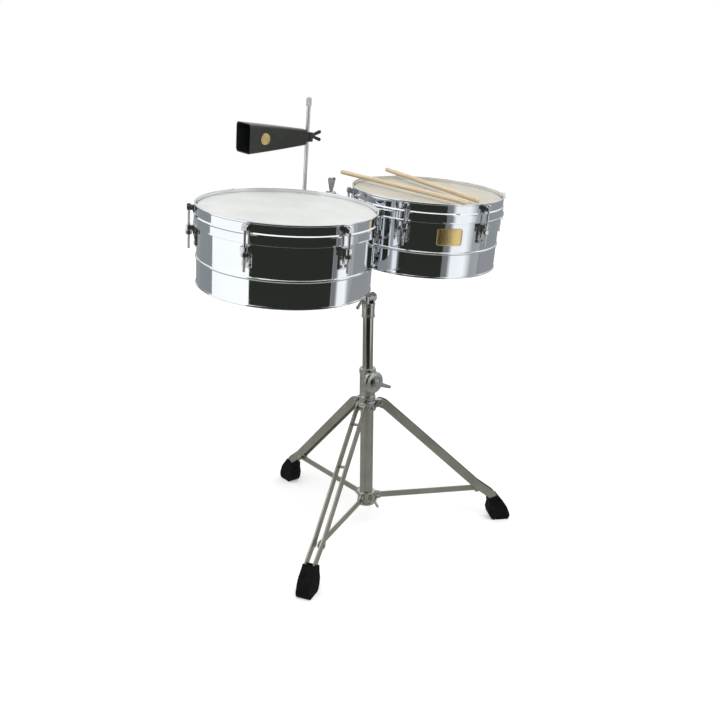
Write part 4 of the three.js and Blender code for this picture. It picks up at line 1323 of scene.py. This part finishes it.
def build_sticks():
    for number in (1, 2):
        node = f"stick_{number}"
        points = [vertex.co for vertex in frame["nodes"][node].data.vertices]
        centre = sum(points, Vector()) / len(points)
        far = max(points, key=lambda point: (point - centre).length)
        reach = far - centre
        along = (reach - DRUM_AXIS * reach.dot(DRUM_AXIS)).normalized()
        half = max((point - centre).dot(along) for point in points) / MM
        radius = max((point - centre).dot(DRUM_AXIS) for point in points) / MM
        place = Matrix.Translation(centre) @ Vector((0, 0, 1)).rotation_difference(along).to_matrix().to_4x4()
        end_r = radius - 2.4
        side = [(end_r, -half), (radius, -half + 4), (radius, half - 4), (end_r, half)]
        section = [(0, -half), *side, (0, half)]
        skin(node, soft_lathe(section, 3, 40, 6), node, WOOD, place)


# ---- Studio ----


def emission_only(name):
    made = bpy.data.materials.new(name)
    made.use_nodes = True
    nodes, links = made.node_tree.nodes, made.node_tree.links
    nodes.clear()
    shine = nodes.new("ShaderNodeEmission")
    links.new(shine.outputs["Emission"], nodes.new("ShaderNodeOutputMaterial").inputs["Surface"])
    return made, nodes, links, shine


def emitter(name, strength, colour=(1, 1, 1)):
    made, _, _, shine = emission_only(name)
    shine.inputs["Color"].default_value = (*colour, 1)
    shine.inputs["Strength"].default_value = strength
    return made


def graded_emitter(name, strength, axis, low, high, stops, centred=False):
    """An emitter whose colour changes along one axis, between two places or, if centred, two directions."""
    made, nodes, links, shine = emission_only(name)
    shine.inputs["Strength"].default_value = strength
    place = nodes.new("ShaderNodeTexCoord").outputs["Object"]
    if centred:
        unit = nodes.new("ShaderNodeVectorMath")
        unit.operation = "NORMALIZE"
        links.new(place, unit.inputs[0])
        place = unit.outputs["Vector"]
    split = nodes.new("ShaderNodeSeparateXYZ")
    links.new(place, split.inputs["Vector"])
    along = nodes.new("ShaderNodeMapRange")
    along.inputs["From Min"].default_value = low
    along.inputs["From Max"].default_value = high
    links.new(split.outputs[axis], along.inputs["Value"])
    links.new(colour_ramp(made, along.outputs["Result"], stops), shine.inputs["Color"])
    return made


def only_reflected(made):
    """Hides a stage surface from everything but mirrors."""
    made.visible_camera = False
    made.visible_diffuse = False
    made.visible_transmission = False
    made.visible_shadow = False


def flat(name, corners, material):
    mesh = bpy.data.meshes.new(name)
    mesh.from_pydata(corners, [], [(0, 1, 2, 3)])
    mesh.materials.append(material)
    made = bpy.data.objects.new(name, mesh)
    bpy.context.scene.collection.objects.link(made)
    return made


def wall(name, start, end, low, high, material):
    """An upright stage wall between two points on the floor."""
    corners = [(*start, low), (*end, low), (*end, high), (*start, high)]
    only_reflected(flat(name, corners, material))


def studio_dome():
    """The room as the plating mirrors it, graded by height alone: grey below, darker grey walls round the
    horizon, a pale ceiling.
    """
    stops = [
        (0.0, (0.42, 0.41, 0.38)),
        (0.30, (0.40, 0.39, 0.37)),
        (0.36, (0.30, 0.31, 0.32)),
        (0.50, (0.30, 0.32, 0.345)),
        (0.62, (0.55, 0.57, 0.60)),
        (0.74, (1.0, 1.0, 1.0)),
        (1.0, (1.25, 1.25, 1.25)),
    ]
    material = graded_emitter("studio_room", 1.0, "Z", -1, 1, stops, centred=True)
    bpy.ops.mesh.primitive_uv_sphere_add(segments=64, ring_count=32, radius=9)
    room = bpy.context.object
    room.name = "studio_room"
    room.data.materials.append(material)
    only_reflected(room)


def build_studio():
    world = bpy.data.worlds.new("white")
    bpy.context.scene.world = world
    world.use_nodes = True
    background = world.node_tree.nodes["Background"]
    background.inputs["Color"].default_value = (1, 1, 1, 1)
    background.inputs["Strength"].default_value = 1.0
    bpy.context.scene.view_settings.view_transform = "Standard"

    floor_material = bpy.data.materials.new("floor_paper")
    floor_material.use_nodes = True
    shader = floor_material.node_tree.nodes["Principled BSDF"]
    shader.inputs["Base Color"].default_value = (0.86, 0.86, 0.86, 1)
    shader.inputs["Roughness"].default_value = 0.9
    shader.inputs["Specular IOR Level"].default_value = 0.1
    shader.inputs["Emission Color"].default_value = (1, 1, 1, 1)
    shader.inputs["Emission Strength"].default_value = 0.22
    size = 12
    corners = [(-size, -size, 0), (size, -size, 0), (size, size, 0), (-size, size, 0)]
    floor = flat("floor", corners, floor_material)
    floor.visible_glossy = False

    studio_dome()
    dark = emitter("dark_card", 0.029, (0.88, 1.0, 0.82))
    wall("dark_front", (-1.36, -0.335), (0.036, -0.672), 0.16, 1.5, dark)
    right_start, right_end = (0.04, -0.66), (1.15, -0.75)
    shades = [(0.0, 0.16), (0.07, 0.2), (0.12, 0.9), (0.32, 0.95), (0.5, 0.34), (0.8, 0.36), (1.0, 0.2)]
    stops = [(at, (shade * 0.97, shade, min(1.0, shade * 1.03))) for at, shade in shades]
    right = graded_emitter("right_card_light", 1.12, "X", right_start[0], right_end[0], stops)
    wall("right_card", right_start, right_end, 0.28, 1.5, right)
    white = emitter("white_card", 1.15, (0.98, 1.0, 1.0))
    wall("left_card", (-1.34, -0.33), (-1.5, 1.25), 0.2, 1.6, white)
    grey = emitter("grey_card", 0.30, (0.90, 0.96, 1.0))
    wall("far_left_card", (-1.5, 1.3), (-0.6, 2.2), 0.2, 1.6, grey)

    light = bpy.data.lights.new("overhead", "AREA")
    light.shape = "RECTANGLE"
    light.size = 2.4
    light.size_y = 1.8
    light.energy = 26
    lamp = bpy.data.objects.new("overhead", light)
    lamp.location = (-0.7, -0.9, 2.7)
    lamp.rotation_euler = (Vector((0, 0, 0.6)) - lamp.location).to_track_quat("-Z", "Y").to_euler()
    lamp.visible_glossy = False
    bpy.context.scene.collection.objects.link(lamp)


CAMERA_FROM_POST = (-1.22115, -1.51446, 1.01714)
CAMERA_HEADING = -37.88  # degrees from +Y, anticlockwise from above
CAMERA_DIP = 14.75
CAMERA_ROLL = 0.44
CAMERA_LENS = 42.38
CAMERA_SHIFT = (0.0087, -0.0407)


def build_camera():
    data = bpy.data.cameras.new("camera")
    data.sensor_width = 36
    data.lens = CAMERA_LENS
    data.shift_x, data.shift_y = CAMERA_SHIFT
    camera = bpy.data.objects.new("camera", data)
    place = STAND @ Matrix.Translation(CAMERA_FROM_POST)
    for degrees, axis in ((CAMERA_HEADING, "Z"), (90 - CAMERA_DIP, "X"), (CAMERA_ROLL, "Z")):
        place = turned(place, degrees, axis)
    camera.matrix_world = place
    bpy.context.scene.collection.objects.link(camera)
    bpy.context.scene.camera = camera


# ---- The whole ----

build_post()
build_upper_tube()
build_height_clamp()
build_legs()
build_hub()
build_collar()
build_tilter()
tab_z, plate_y, plate_middle_x = build_tilter_head()
build_drum("large", -1, tab_z, plate_y, plate_middle_x)
small_place, small_radius = build_drum("small", 1, tab_z, plate_y, plate_middle_x)
build_badge(small_place, small_radius)
bell_post_x, bell_y = build_bell_stand()
build_bell_disc(*build_cowbell(bell_post_x, bell_y))
build_sticks()
build_studio()
build_camera()
